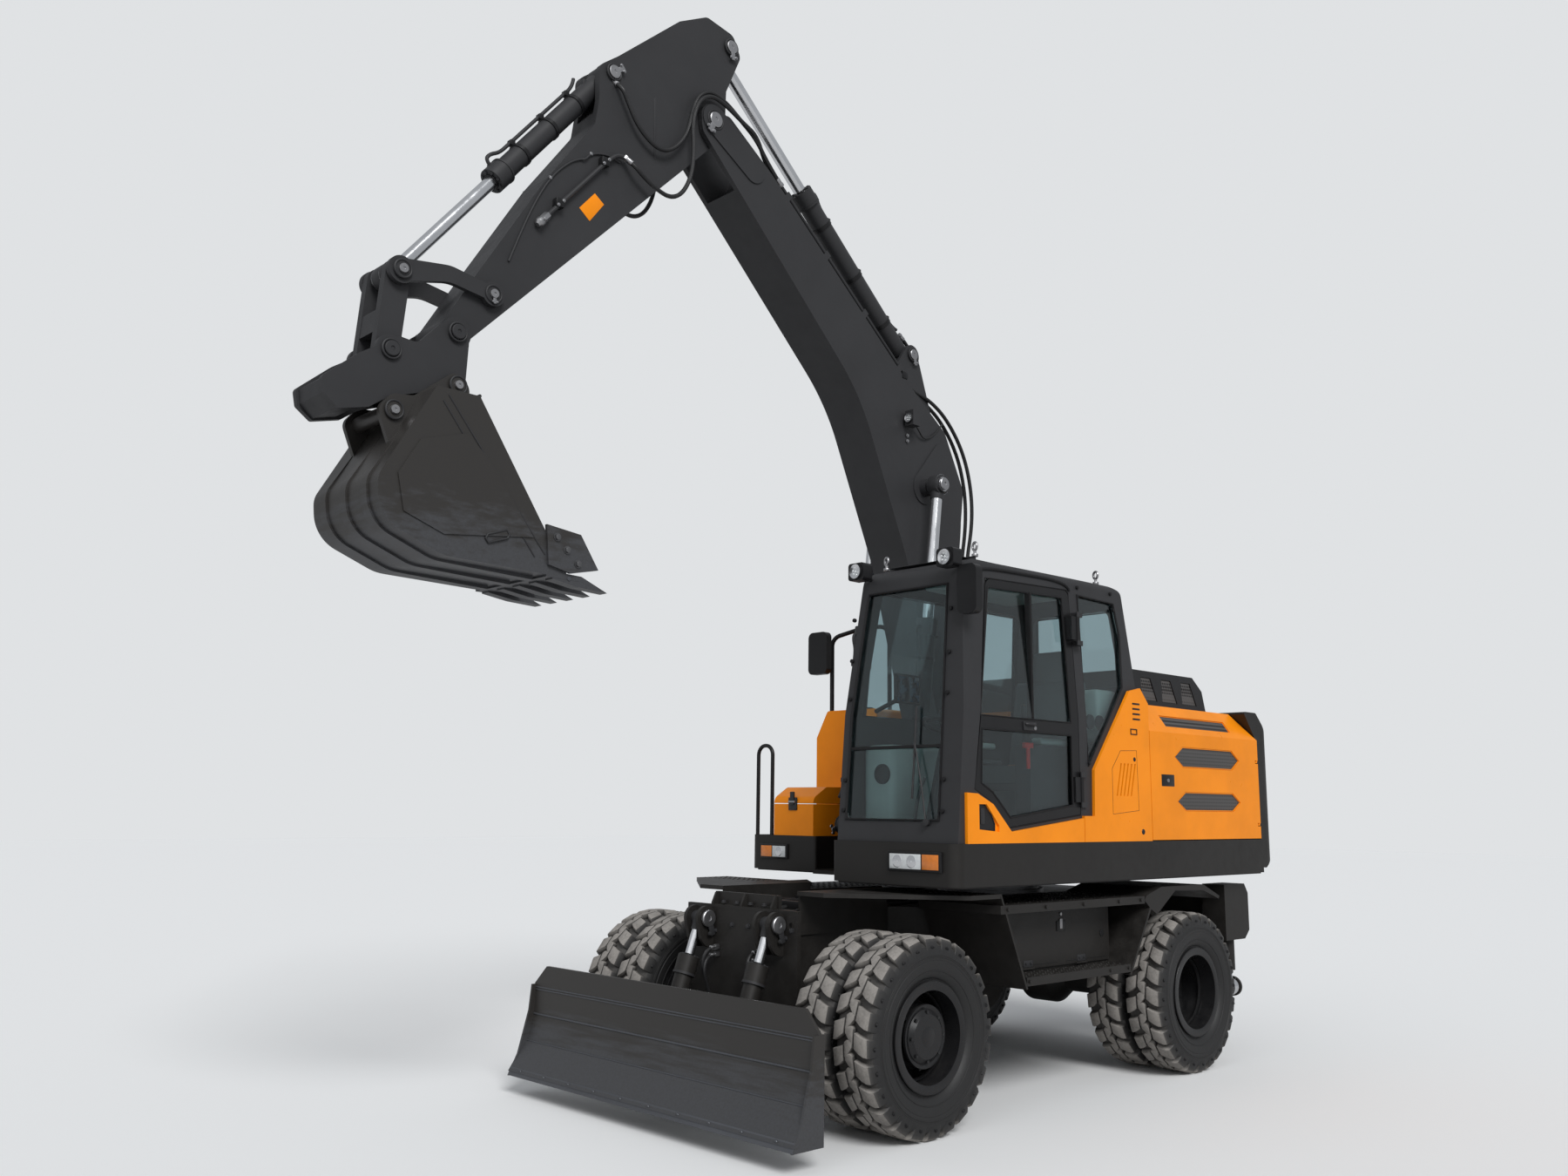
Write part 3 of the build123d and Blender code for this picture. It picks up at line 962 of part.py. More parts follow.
# Two steel pipes in clamps along the top of the boom's upper leg.
PIPE_R = 11.0
PIPE_RISE = 30.0
pipe_low = (-640.0 + PIPE_RISE * 0.633, 4741.0 + PIPE_RISE * 0.774)
pipe_high = (-1900.0 + PIPE_RISE * 0.633, 5770.0 + PIPE_RISE * 0.774)
for pipe_x in (BOOM_X + 122, BOOM_X + 150):
    boom += bar((pipe_x, *pipe_low), (pipe_x, *pipe_high), PIPE_R)
pipe_run = hypot(pipe_high[0] - pipe_low[0], pipe_high[1] - pipe_low[1])
clamp_lean = -atan2(pipe_high[1] - pipe_low[1], pipe_low[0] - pipe_high[0]) * 180 / pi
for share in (0.06, 0.35, 0.65, 0.94):
    place = toward(pipe_low, pipe_high, share * pipe_run)
    boom += Pos(BOOM_X + 134, *place) * Rot(clamp_lean, 0, 0) * Pos(0, 0, -10) * Box(62, 46, 56)
# Lamp on its bracket beside the bend.
lamp_place = (-626.0, 4443.0)
boom += block((BOOM_X + BOOM_W / 2 - 1, BOOM_X + BOOM_W / 2 + 30), (lamp_place[0] - 20, lamp_place[0] + 20),
              (lamp_place[1] - 25, lamp_place[1] + 25))
boom += block((BOOM_X + BOOM_W / 2 + 20, BOOM_X + BOOM_W / 2 + 95),
              (lamp_place[0] - 50, lamp_place[0] + 25),
              (lamp_place[1] - 55, lamp_place[1] + 55))
node("boom", boom)

boom_barrels = []
boom_rods = []
for middle_x in (BOOM_X - BOOM_CYL_OFFSET, BOOM_X + BOOM_CYL_OFFSET):
    boom_barrels.append(barrel(middle_x, BOOM_CYL_FOOT, BOOM_CYL_PIN, 1400, 62, 72, 84, PIN_R, 38))
    boom_rod = rod(middle_x, BOOM_CYL_FOOT, BOOM_CYL_PIN, 980, 38, 72, 84)
    outward = 1 if middle_x > BOOM_X else -1
    cap = sorted((middle_x + outward * 41, middle_x + outward * 56))
    boom_rods.append(boom_rod + shaft(*cap, BOOM_CYL_PIN, 56))
node("boom_barrels", *boom_barrels)
node("boom_rods", *boom_rods)

# ---- arm -----------------------------------------------------------------------------
arm_cyl_barrel = barrel(BOOM_X, ARM_CYL_FOOT, ARM_CYL_PIN, 1400, ARM_CYL_R, 72, 2 * ARM_CYL_R + 8, PIN_R,
                        42)
arm_cyl_rod = rod(BOOM_X, ARM_CYL_FOOT, ARM_CYL_PIN, 1000, 42, 72, 84)
node("arm_barrel", arm_cyl_barrel)
node("arm_rod", arm_cyl_rod)
arm_face = outline((-2515, 6722, 60), (-2738, 6590, 60), (-3200, 6150, 60), (-3330, 6040, 80),
                   (-3322, 5829), (-3345, 5659, 60),
                   (-3659, 5203), (-4064, 4516), (-4275, 4150, 80), (-4190, 4045, 60), (-4081, 4146),
                   (-2658, 5634, 60), (-2350, 5960, 100),
                   (-2343, 6274), (-2225, 6560, 60), (-2290, 6690, 60))
arm_face = arm_face + disc(STICK_PIN, 86) + disc(BOOM_TIP, 130)
arm = across(arm_face, BOOM_X - ARM_W / 2, BOOM_X + ARM_W / 2)
eye_end = (ARM_CYL_PIN[0] - 180, ARM_CYL_PIN[1] + 82)
eye_slot = link_face(eye_end, 84, ARM_CYL_PIN, 125) + outline((-2575, 6675), (-2315, 6480), (-2100, 6380),
                                                              (-2100, 6800), (-2575, 6800))
arm -= across(eye_slot, BOOM_X - 50, BOOM_X + 50)
foot_slot = link_face(BUCKET_CYL_FOOT, 100, toward(BUCKET_CYL_FOOT, ROCKER_TOP, 700), 95)
arm -= across(foot_slot + disc(BUCKET_CYL_FOOT, 105), BOOM_X - 80, BOOM_X + 80)
arm -= shaft(BOOM_X - BOOM_W, BOOM_X + BOOM_W, BOOM_TIP, 45 + RUN)
arm += shaft(BOOM_X - ARM_W / 2 - 12, BOOM_X + ARM_W / 2 + 12, BUCKET_CYL_FOOT, PIN_R)
for low, high in ((ARM_W / 2 - 1, ARM_W / 2 + 14), (-ARM_W / 2 - 14, -ARM_W / 2 + 1)):
    arm += shaft(BOOM_X + low, BOOM_X + high, ARM_CYL_PIN, 45)
arm += shaft(BOOM_X - 166, BOOM_X + 166, ROCKER_PIN, PIN_R)
arm += shaft(BOOM_X - 180, BOOM_X + 180, STICK_PIN, PIN_R)
node("arm", arm)

# ---- bucket linkage ------------------------------------------------------------------
bucket_cyl_barrel = barrel(BOOM_X, BUCKET_CYL_FOOT, ROCKER_TOP, 1140, 62, 72, 90, PIN_R, 36)
bucket_cyl_rod = rod(BOOM_X, BUCKET_CYL_FOOT, ROCKER_TOP, 800, 36, 66, 84)
node("bucket_barrel", bucket_cyl_barrel)
node("bucket_rod", bucket_cyl_rod)
rocker_inner = ARM_W / 2 + CLEAR
rocker_outer = rocker_inner + 32
rocker_face = outline((ROCKER_PIN[0] + 10, ROCKER_PIN[1] + 40), (ROCKER_PIN[0] - 20, ROCKER_PIN[1] - 40),
                      (-4240, 4405, 200), (ROCKER_TOP[0] + 20, ROCKER_TOP[1] - 55),
                      (ROCKER_TOP[0], ROCKER_TOP[1] + 60), (-4240, 4495, 200))
rocker_face = rocker_face + disc(ROCKER_PIN, 66) + disc(ROCKER_TOP, 72)
rocker = [plate - shaft(-900, 900, ROCKER_PIN, PIN_R + RUN) for plate in pair_about_boom(rocker_face,
                                                                                         rocker_inner,
                                                                                         rocker_outer)]
rocker[0] += shaft(BOOM_X + rocker_outer - 1, BOOM_X + rocker_outer + 12, ROCKER_TOP, 48)
rocker[1] += shaft(BOOM_X - rocker_outer - 12, BOOM_X - rocker_outer + 1, ROCKER_TOP, 48)
node("rocker_links", *rocker)
h_face = link_face(ROCKER_TOP, 68, LINK_PIN, 66)
h_link = pair_about_boom(h_face, 76, ARM_W / 2 - 1)
h_web = outline((-4590, 4180), (-4480, 4180), (-4500, 4060), (-4600, 4060))
h_link = h_link[0] + h_link[1] + across(h_web, BOOM_X - 77, BOOM_X + 77)
h_link -= shaft(-900, 900, LINK_PIN, PIN_R + RUN)
node("h_link", h_link)

# ---- quick coupler and bucket --------------------------------------------------------
coupler_face = outline((-4110, 4150, 60), (-4250, 4200, 60), (-4400, 4030, 60), (-4500, 4040, 40),
                       (-4707, 3900, 60), (-4886, 3740, 30), (-4870, 3660, 20),
                       (-4790, 3600, 20), (-4640, 3640), (-4560, 3700), (-4470, 3740, 60),
                       (-4330, 3790, 60), (-4250, 3770), (-4130, 3790, 30),
                       (-4120, 3900, 60))
coupler_face = coupler_face + disc(STICK_PIN, 82) + disc(LINK_PIN, 76)
coupler_plates = pair_about_boom(coupler_face, FORK_GAP, FORK_GAP + 34)
coupler = coupler_plates[0] + coupler_plates[1]
nose_face = outline((-4700, 3880), (-4870, 3740), (-4860, 3670), (-4790, 3610), (-4680, 3640),
                    (-4680, 3800))
coupler += across(nose_face, BOOM_X - FORK_GAP - 20, BOOM_X + FORK_GAP + 20)
bridge_face = outline((-4480, 3830), (-4260, 3900), (-4250, 3860), (-4300, 3800), (-4480, 3750))
coupler += across(bridge_face, BOOM_X - FORK_GAP - 5, BOOM_X + FORK_GAP + 5)
for pin in (STICK_PIN, BUCKET_PIN_FRONT, BUCKET_PIN_REAR):
    coupler -= shaft(-900, 900, pin, PIN_R + RUN)
coupler += shaft(BOOM_X - FORK_GAP - 46, BOOM_X + FORK_GAP + 46, LINK_PIN, PIN_R)
node("quick_coupler", coupler)

BUCKET_TOP = (-4378.0, 3769.0)
MOUTH_TOP = (-4137.0, 3768.0)
LIP = (-3560.0, 2905.0)
shell_face = outline((*BUCKET_TOP, 20), MOUTH_TOP, LIP, (-4300, 2925, 260), (-4640, 3060, 200),
                     (-4660, 3260, 120))
hollow_face = outline((-4372, 3755), (-4100, 3755), (-3520, 2890), (-3548, 2919), (-4296, 2939, 250),
                      (-4624, 3072, 190), (-4645, 3258, 115))
half_bucket = BUCKET_W / 2
bucket = across(shell_face, BOOM_X - half_bucket, BOOM_X + half_bucket)
bucket -= across(hollow_face, BOOM_X - half_bucket + 16, BOOM_X + half_bucket - 16)
lip_face = outline((-3700, 2898), (-3700, 2932), (-3480, 2912), (-3470, 2898))
bucket += across(lip_face, BOOM_X - half_bucket, BOOM_X + half_bucket)
ear_face = outline((-4120, 3768), (-4110, 3850, 70), (-4190, 3930, 60), (-4420, 3740, 60),
                   (-4540, 3725, 60), (-4610, 3640, 60), (-4540, 3470), (-4370, 3640))
ear_inner = FORK_GAP + 34 + CLEAR
for plate in pair_about_boom(ear_face, ear_inner, ear_inner + 28):
    bucket += plate - across(hollow_face, -900, 900)
for pin in (BUCKET_PIN_FRONT, BUCKET_PIN_REAR):
    bucket += shaft(BOOM_X - ear_inner - 40, BOOM_X + ear_inner + 40, pin, PIN_R)
TEETH = 5
tooth_face = outline((-3660, 2932), (-3660, 2890), (-3500, 2866), (-3310, 2856), (-3480, 2925))
for tooth in range(TEETH):
    middle = BOOM_X + (tooth - (TEETH - 1) / 2) * (BUCKET_W - 70) / (TEETH - 1)
    bucket += across(tooth_face, middle - 34, middle + 34)
cutter_face = outline((-3720, 3170), (-3505, 3145), (-3386, 2969), (-3560, 2930), (-3700, 2960))
for low, high in ((half_bucket - 1, half_bucket + 18), (-half_bucket - 18, -half_bucket + 1)):
    bucket += across(cutter_face, BOOM_X + low, BOOM_X + high)
# Wear straps round the back and a raised plate on each side.
strap_face = outline((-4402, 3712), (-4672, 3262, 122), (-4650, 3052, 205), (-4302, 2914, 262),
                     (-3720, 2890),
                     (-3720, 2925), (-4299, 2931, 255), (-4634, 3066, 195), (-4654, 3259, 118),
                     (-4386, 3706))
for strap_x in (-220, 0, 220):
    bucket += across(strap_face, BOOM_X + strap_x - 32, BOOM_X + strap_x + 32)
side_plate = outline((-4560, 3290), (-4450, 3480), (-4200, 3560), (-4060, 3440), (-3790, 3090),
                     (-4300, 3030), (-4520, 3110))
for plate in pair_about_boom(side_plate, half_bucket - 1, half_bucket + 7):
    bucket += plate
node("bucket", bucket)

# ---- write ---------------------------------------------------------------------------
os.makedirs("parts", exist_ok=True)
for name, solids in NODES.items():
    placed = [Pos(0, SWING_Y, TYRE_R - HUB_Z) * solid for solid in solids]
    export_step(Compound(placed), f"parts/{name}.step")
print(len(NODES), "nodes")
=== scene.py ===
"""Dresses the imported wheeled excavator: paint, glass, tyres, hoses, lamps and the small hardware."""

import math

import bmesh
import bpy
from mathutils import Matrix, Vector


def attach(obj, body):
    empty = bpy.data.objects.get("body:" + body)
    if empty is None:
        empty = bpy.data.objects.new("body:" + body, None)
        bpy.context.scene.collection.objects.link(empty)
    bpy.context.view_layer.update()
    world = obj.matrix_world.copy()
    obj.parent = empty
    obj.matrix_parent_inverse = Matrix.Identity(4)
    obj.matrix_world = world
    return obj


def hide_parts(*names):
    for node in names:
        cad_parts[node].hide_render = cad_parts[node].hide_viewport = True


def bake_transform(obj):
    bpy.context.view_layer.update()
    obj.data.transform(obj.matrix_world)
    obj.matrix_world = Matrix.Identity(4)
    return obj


bl_info = {
    "name": "Wheeled Excavator",
    "version": (1, 0, 0),
    "blender": (4, 5, 0),
    "location": "3D View > Sidebar > Excavator",
    "description": "Builds the finish and the small pieces of a wheeled excavator round its CAD frame",
    "category": "Object",
}

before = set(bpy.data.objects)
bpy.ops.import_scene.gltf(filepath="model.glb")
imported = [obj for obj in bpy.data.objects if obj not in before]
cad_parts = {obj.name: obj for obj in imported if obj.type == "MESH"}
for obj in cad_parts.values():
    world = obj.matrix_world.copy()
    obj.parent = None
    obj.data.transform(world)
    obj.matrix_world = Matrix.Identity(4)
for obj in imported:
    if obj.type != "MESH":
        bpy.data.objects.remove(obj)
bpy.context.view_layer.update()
MATERIALS = {}
MM = 1000.0  # millimetres in a metre
SWING_Y = 1.3  # metres from the frame's origin to the swing axis
FRONT_AXLE_Y = -1800.0
REAR_AXLE_Y = 1000.0
HUB_Z = 527.5
SIDES = (("left", 1), ("right", -1))
TINT, VALUE, VECTOR = "NodeSocketColor", "NodeSocketFloat", "NodeSocketVector"


def colour(text, value, hint):
    """Colour property in linear RGB."""
    return bpy.props.FloatVectorProperty(
        name=text, description=hint, subtype="COLOR", size=3, min=0.0, max=1.0, default=value)


class ExcavatorPaint(bpy.types.PropertyGroup):
    """Colours of the machine's finishes."""

    charcoal: colour("Charcoal", (0.0310, 0.0312, 0.0335), "Dark paint of boom, arm and cab")
    under: colour("Undercarriage", (0.0172, 0.0158, 0.0146), "Dark paint of chassis and skirt")
    # This metal colour also paints the sky light and sheen on the blade's lower bands.
    bare: colour("Bare metal", (0.105, 0.11, 0.122), "Metal where the paint is worn through")
    orange: colour("Orange", (0.96, 0.285, 0.006), "Panels of the upper body")
    black: colour("Black", (0.012, 0.012, 0.013), "Hood, lamp housings and rails")
    dust: colour("Dust", (0.31, 0.29, 0.268), "Road dust on tyres and undercarriage")
    rubber: colour("Rubber", (0.013, 0.013, 0.0135), "Tyres and seals")
    glass: colour("Glass tint", (0.72, 0.86, 0.88), "Cab glazing")
    seat: colour("Seat cloth", (0.075, 0.08, 0.082), "Seat cover")
    trim: colour("Cab trim", (0.36, 0.42, 0.40), "Inner panels of the cab")
    amber: colour("Amber", (0.80, 0.22, 0.01), "Turn signal lens")
    backdrop: colour("Backdrop", (0.745, 0.761, 0.776), "Pale studio background")
    dustiness: bpy.props.FloatProperty(
        name="Dustiness", description="How much dust lies on the undercarriage", default=0.5, min=0.0, max=1.0,
        subtype="FACTOR")


class ExcavatorSizes(bpy.types.PropertyGroup):
    """Counts of the small pieces."""

    lugs: bpy.props.IntProperty(
        name="Lugs", description="Tread blocks on each half of a tyre", default=24, min=6, max=40)
    boom_hoses: bpy.props.IntProperty(
        name="Boom hoses", description="Hoses that pass the boom's foot", default=5, min=1, max=7)


class ExcavatorStage(bpy.types.PropertyGroup):
    """Camera and floor."""

    lens: bpy.props.FloatProperty(
        name="Lens", description="Focal length", default=30.04, min=1.0, unit="CAMERA")
    floor: colour("Floor", (0.926, 0.934, 0.936), "Floor seen by the camera, matched to the lit backdrop")
    eye: bpy.props.FloatVectorProperty(
        name="Eye", description="Where the camera stands", size=3, subtype="TRANSLATION",
        default=(5.93, -6.12, 1.72))
    turn: bpy.props.FloatVectorProperty(
        name="Turn", description="Heading, pitch and roll of the camera", size=3, subtype="EULER",
        default=(math.radians(-46.32), math.radians(9.61), math.radians(0.61)))


# ---------------------------------------------------------------------------- materials

# scale, detail and roughness of each noise
DRIFT = (1.7, 4.0, 0.6)
SMEAR = (11.0, 5.0, 0.65)
SPECK = (90.0, 4.0, 0.7)
GRIT = (420.0, 2.0, 0.6)
TYRE_FINE = (60.0, 4.0, 0.7)
TYRE_BROAD = (7.0, 4.0, 0.6)
STREAK = (3.0, 8.0, 0.62)
SCRATCH = (70.0, 4.0, 0.7)
FILM = (2.2, 4.0, 0.6)
TYRE_DUST = (
    # distance from the axle where dust begins and is full, and how much it adds
    (0.492, 0.519, 0.78), (0.45, 0.505, 0.22), (0.27, 0.40, 0.035),
)
COAT_ROUGHNESS = 0.08
RIB_SCALE = 60.0
LENS_BUMP = 0.25
UNDER_LIFT = 1.75  # how much paler the steel of blade and bucket is painted


def opaque(tint, factor=1.0):
    """Colour with full alpha, made darker or paler."""
    return (*[value * factor for value in tint], 1.0)


def node_group(name, inputs, outputs):
    """Empty shader group with named sockets, and its input and output nodes."""
    tree = bpy.data.node_groups.new(name, "ShaderNodeTree")
    for label, kind, value in inputs:
        socket = tree.interface.new_socket(name=label, in_out="INPUT", socket_type=kind)
        socket.default_value = value
    for label, kind in outputs:
        tree.interface.new_socket(name=label, in_out="OUTPUT", socket_type=kind)
    return tree, tree.nodes.new("NodeGroupInput").outputs, tree.nodes.new("NodeGroupOutput").inputs


def feed(tree, socket, source):
    """Link a socket to another or give it a value."""
    if isinstance(source, bpy.types.NodeSocket):
        tree.links.new(source, socket)
    else:
        socket.default_value = source


def add(tree, kind, inputs=None, **settings):
    """Node with its settings made and its inputs linked or given values."""
    node = tree.nodes.new(kind)
    for key, value in settings.items():
        setattr(node, key, value)
    for key, source in (inputs or {}).items():
        feed(tree, node.inputs[key], source)
    return node


def math_node(tree, operation, first, second=None, clamp=False):
    """One Math node."""
    inputs = {0: first} if second is None else {0: first, 1: second}
    return add(tree, "ShaderNodeMath", inputs, operation=operation, use_clamp=clamp).outputs[0]


def chain(tree, operation, first, *others, clamp=False):
    """Math nodes one after another; only the last is clamped."""
    for index, value in enumerate(others, 1):
        first = math_node(tree, operation, first, value, clamp and index == len(others))
    return first


def product(tree, *values, clamp=False):
    """Values multiplied."""
    return chain(tree, "MULTIPLY", *values, clamp=clamp)


def total(tree, *values, clamp=False):
    """Values added up."""
    return chain(tree, "ADD", *values, clamp=clamp)


def vector_math(tree, operation, inputs, output=0):
    """One Vector Math node."""
    return add(tree, "ShaderNodeVectorMath", inputs, operation=operation).outputs[output]


def mix_colour(tree, factor, first, second):
    """Mix of two colours."""
    return add(tree, "ShaderNodeMix", {0: factor, 6: first, 7: second}, data_type="RGBA").outputs[2]


def ramp(tree, value, low, high):
    """Smooth step of a value between two limits."""
    inputs = {0: value, 1: low, 2: high, 3: 0.0, 4: 1.0}
    return add(tree, "ShaderNodeMapRange", inputs, interpolation_type="SMOOTHSTEP").outputs[0]


def linear(tree, value, low, high, first=0.0, last=1.0):
    """Straight step of a value between two limits."""
    return add(tree, "ShaderNodeMapRange", {0: value, 1: low, 2: high, 3: first, 4: last}).outputs[0]


def spread(tree, value, first, last):
    """Noise stretched to run from one number to another."""
    return linear(tree, value, 0.3, 0.7, first, last)


def scaled(tree, value, factor, offset):
    """A value times a number plus a number."""
    inputs = {0: value, 1: factor, 2: offset}
    return add(tree, "ShaderNodeMath", inputs, operation="MULTIPLY_ADD", use_clamp=True).outputs[0]


def noise(tree, position, scale, detail=3.0, roughness=0.5):
    """Noise value between 0 and 1."""
    inputs = {"Vector": position, "Scale": scale, "Detail": detail, "Roughness": roughness}
    return add(tree, "ShaderNodeTexNoise", inputs).outputs[0]


def own_place(tree, output="Object"):
    """Coordinates that belong to the object."""
    return add(tree, "ShaderNodeTexCoord").outputs[output]


def component(tree, vector, axis):
    """One component of a vector."""
    return add(tree, "ShaderNodeSeparateXYZ", {0: vector}).outputs[axis]


def build_weathering():
    """Group: colour drift, settled dust and fine grain for painted and metal surfaces."""
    tree, ins, outs = node_group(
        "weathering",
        (("Colour", TINT, (0.5, 0.5, 0.5, 1)), ("Dust colour", TINT, (0.2, 0.17, 0.14, 1)),
         ("Dust", VALUE, 0.3), ("Roughness", VALUE, 0.4), ("Grain scale", VALUE, 300.0)),
        (("Colour", TINT), ("Roughness", VALUE), ("Height", VALUE)))
    place = own_place(tree)
    normal = component(tree, add(tree, "ShaderNodeNewGeometry").outputs["Normal"], 2)
    height = component(tree, place, 2)
    drift, smear, speck = [noise(tree, place, *kind) for kind in (DRIFT, SMEAR, SPECK)]
    low = math_node(tree, "SUBTRACT", 1.0, ramp(tree, height, 0.1, 2.6))
    settle = scaled(tree, ramp(tree, normal, 0.2, 0.95), 0.65, 0.25)
    base = product(tree, settle, scaled(tree, low, 1.0, 0.25))
    patch = product(tree, ramp(tree, smear, 0.3, 0.7), ramp(tree, speck, 0.2, 0.62))
    dust = product(tree, base, patch, ins["Dust"], clamp=True)
    tinted = vector_math(tree, "SCALE", {0: ins["Colour"], 3: spread(tree, drift, 0.9, 1.1)})
    feed(tree, outs["Colour"], mix_colour(tree, dust, tinted, ins["Dust colour"]))
    smeared, dulled = spread(tree, smear, -0.05, 0.07), product(tree, dust, 0.4)
    feed(tree, outs["Roughness"], total(tree, ins["Roughness"], smeared, dulled, clamp=True))
    feed(tree, outs["Height"], noise(tree, place, ins["Grain scale"], 2.0))


def build_tyre_dust():
    """Group: road dust by distance from the axle, thick on the tread and gone on the sidewall."""
    tree, ins, outs = node_group(
        "tyre_dust",
        (("Rubber", TINT, (0.02, 0.02, 0.02, 1)), ("Dust colour", TINT, (0.2, 0.17, 0.14, 1)),
         ("Front axle", VECTOR, (0, 0, 0)), ("Rear axle", VECTOR, (0, 0, 0))),
        (("Colour", TINT), ("Roughness", VALUE), ("Height", VALUE)))
    place = own_place(tree)
    reaches = []
    for label in ("Front axle", "Rear axle"):
        gap = vector_math(tree, "SUBTRACT", {0: place, 1: ins[label]})
        flat = vector_math(tree, "MULTIPLY", {0: gap, 1: (0.0, 1.0, 1.0)})
        reaches.append(vector_math(tree, "LENGTH", {0: flat}, "Value"))
    reach = math_node(tree, "MINIMUM", *reaches)
    fine, broad, grit = [noise(tree, place, *kind) for kind in (TYRE_FINE, TYRE_BROAD, GRIT)]
    lying = total(tree, *[product(tree, ramp(tree, reach, low, high), much) for low, high, much in TYRE_DUST])
    sideways = math_node(tree, "ABSOLUTE", component(tree, own_place(tree, "Normal"), 0))
    facing = linear(tree, sideways, 0.45, 0.85, 1.0, 0.22)
    specks, drifts = spread(tree, fine, 0.7, 1.1), spread(tree, broad, 0.75, 1.15)
    mask = product(tree, lying, specks, facing, drifts, clamp=True)
    feed(tree, outs["Colour"], mix_colour(tree, mask, ins["Rubber"], ins["Dust colour"]))
    feed(tree, outs["Roughness"], scaled(tree, mask, 0.35, 0.55))
    feed(tree, outs["Height"], total(tree, grit, product(tree, fine, 1.5)))


def build_wear_and_sky_light():
    """Group: paint worn through to bare metal in streaks, paler and bluish towards the bottom; on the blade
    this pale lower band is partly real wear and partly painted sky light and sheen.
    """
    tree, ins, outs = node_group(
        "wear_and_sky_light",
        (("Paint", TINT, (0.04, 0.04, 0.04, 1)), ("Metal", TINT, (0.1, 0.1, 0.11, 1)), ("Low", VALUE, 0.1),
         ("High", VALUE, 0.6), ("Wear", VALUE, 0.8)),
        (("Colour", TINT), ("Roughness", VALUE), ("Metallic", VALUE), ("Height", VALUE)))
    place = own_place(tree)
    streak = noise(tree, vector_math(tree, "MULTIPLY", {0: place, 1: (0.8, 2.5, 9.0)}), *STREAK)
    fine = noise(tree, place, *SCRATCH)
    down = math_node(tree, "SUBTRACT", 1.0, linear(tree, component(tree, place, 2), ins["Low"], ins["High"]))
    push = total(tree, product(tree, down, 0.75), product(tree, streak, 0.8))
    # Mask of worn metal low down; on the blade it also paints the sky light and sheen of the upward-facing
    # lower bands.
    bare = product(tree, ramp(tree, push, 0.62, 0.9), ins["Wear"], spread(tree, fine, 0.6, 1.1), clamp=True)
    feed(tree, outs["Colour"], mix_colour(tree, bare, ins["Paint"], ins["Metal"]))
    feed(tree, outs["Roughness"], scaled(tree, bare, 0.05, 0.42))
    feed(tree, outs["Metallic"], product(tree, bare, 0.55))
    feed(tree, outs["Height"], total(tree, streak, fine))


def build_perforation():
    """Group: punched round holes in rows over a sheet."""
    tree, ins, outs = node_group(
        "perforation", (("Pitch", VALUE, 0.012), ("Hole", VALUE, 0.34)), (("Solid", VALUE),))
    cells = vector_math(tree, "SCALE", {0: own_place(tree), 3: math_node(tree, "DIVIDE", 1.0, ins["Pitch"])})
    inputs = {"Vector": cells, "Scale": 1.0, "Randomness": 0.0}
    spot = add(tree, "ShaderNodeTexVoronoi", inputs, feature="F1").outputs["Distance"]
    feed(tree, outs["Solid"], linear(tree, spot, ins["Hole"], 0.5))


def plain(name):
    """New material's tree and the inputs of its shader."""
    material = bpy.data.materials.new(name)
    material.use_nodes = True
    MATERIALS[name] = material
    return material.node_tree, material.node_tree.nodes["Principled BSDF"].inputs


def relief(tree, shader, height, strength, distance=0.001):
    """Bump from a height."""
    bump = add(tree, "ShaderNodeBump", {"Height": height, "Strength": strength, "Distance": distance})
    feed(tree, shader["Normal"], bump.outputs[0])


def toned(tree, shader, factor, first, second):
    """Base colour mixed from two."""
    feed(tree, shader["Base Color"], mix_colour(tree, factor, first, second))


def grouped(name, group, inputs, bump):
    """Material that takes its colour, roughness, metallic and bump from a shared group."""
    tree, shader = plain(name)
    outputs = add(tree, "ShaderNodeGroup", inputs, node_tree=bpy.data.node_groups[group]).outputs
    for label, socket in (("Colour", "Base Color"), ("Roughness", "Roughness"), ("Metallic", "Metallic")):
        if label in outputs:
            feed(tree, shader[socket], outputs[label])
    if bump:
        relief(tree, shader, outputs["Height"], bump)
    return shader


def finish(name, base, roughness, dust=0.0, metallic=0.0, bump=0.0, grain=300.0, coat=0.0, shine=0.5):
    """Material whose colour, roughness and bump come through the weathering group."""
    dust_colour = opaque(bpy.context.scene.excavator_paint.dust)
    shader = grouped(name, "weathering", {"Colour": opaque(base), "Dust colour": dust_colour, "Dust": dust,
                                          "Roughness": roughness, "Grain scale": grain}, bump)
    shader["Metallic"].default_value = metallic
    shader["Specular IOR Level"].default_value = shine
    shader["Coat Weight"].default_value = coat
    shader["Coat Roughness"].default_value = COAT_ROUGHNESS


def worn_and_sky_lit(name, low, high, wear_and_light):
    """Dark paint worn through below a height; on the blade the pale lower band is partly wear and partly
    painted sky light and sheen.
    """
    paint = bpy.context.scene.excavator_paint
    grouped(name, "wear_and_sky_light", {"Paint": opaque(paint.under, UNDER_LIFT), "Metal": opaque(paint.bare), "Low": low,
                              "High": high, "Wear": wear_and_light}, 0.3)


def build_tyre():
    """Dusty tyre rubber."""
    paint = bpy.context.scene.excavator_paint
    front, rear = at(0, FRONT_AXLE_Y, HUB_Z), at(0, REAR_AXLE_Y, HUB_Z)
    grouped("tyre", "tyre_dust", {"Rubber": opaque(paint.rubber), "Dust colour": opaque(paint.dust),
                                  "Front axle": front, "Rear axle": rear}, 0.45)


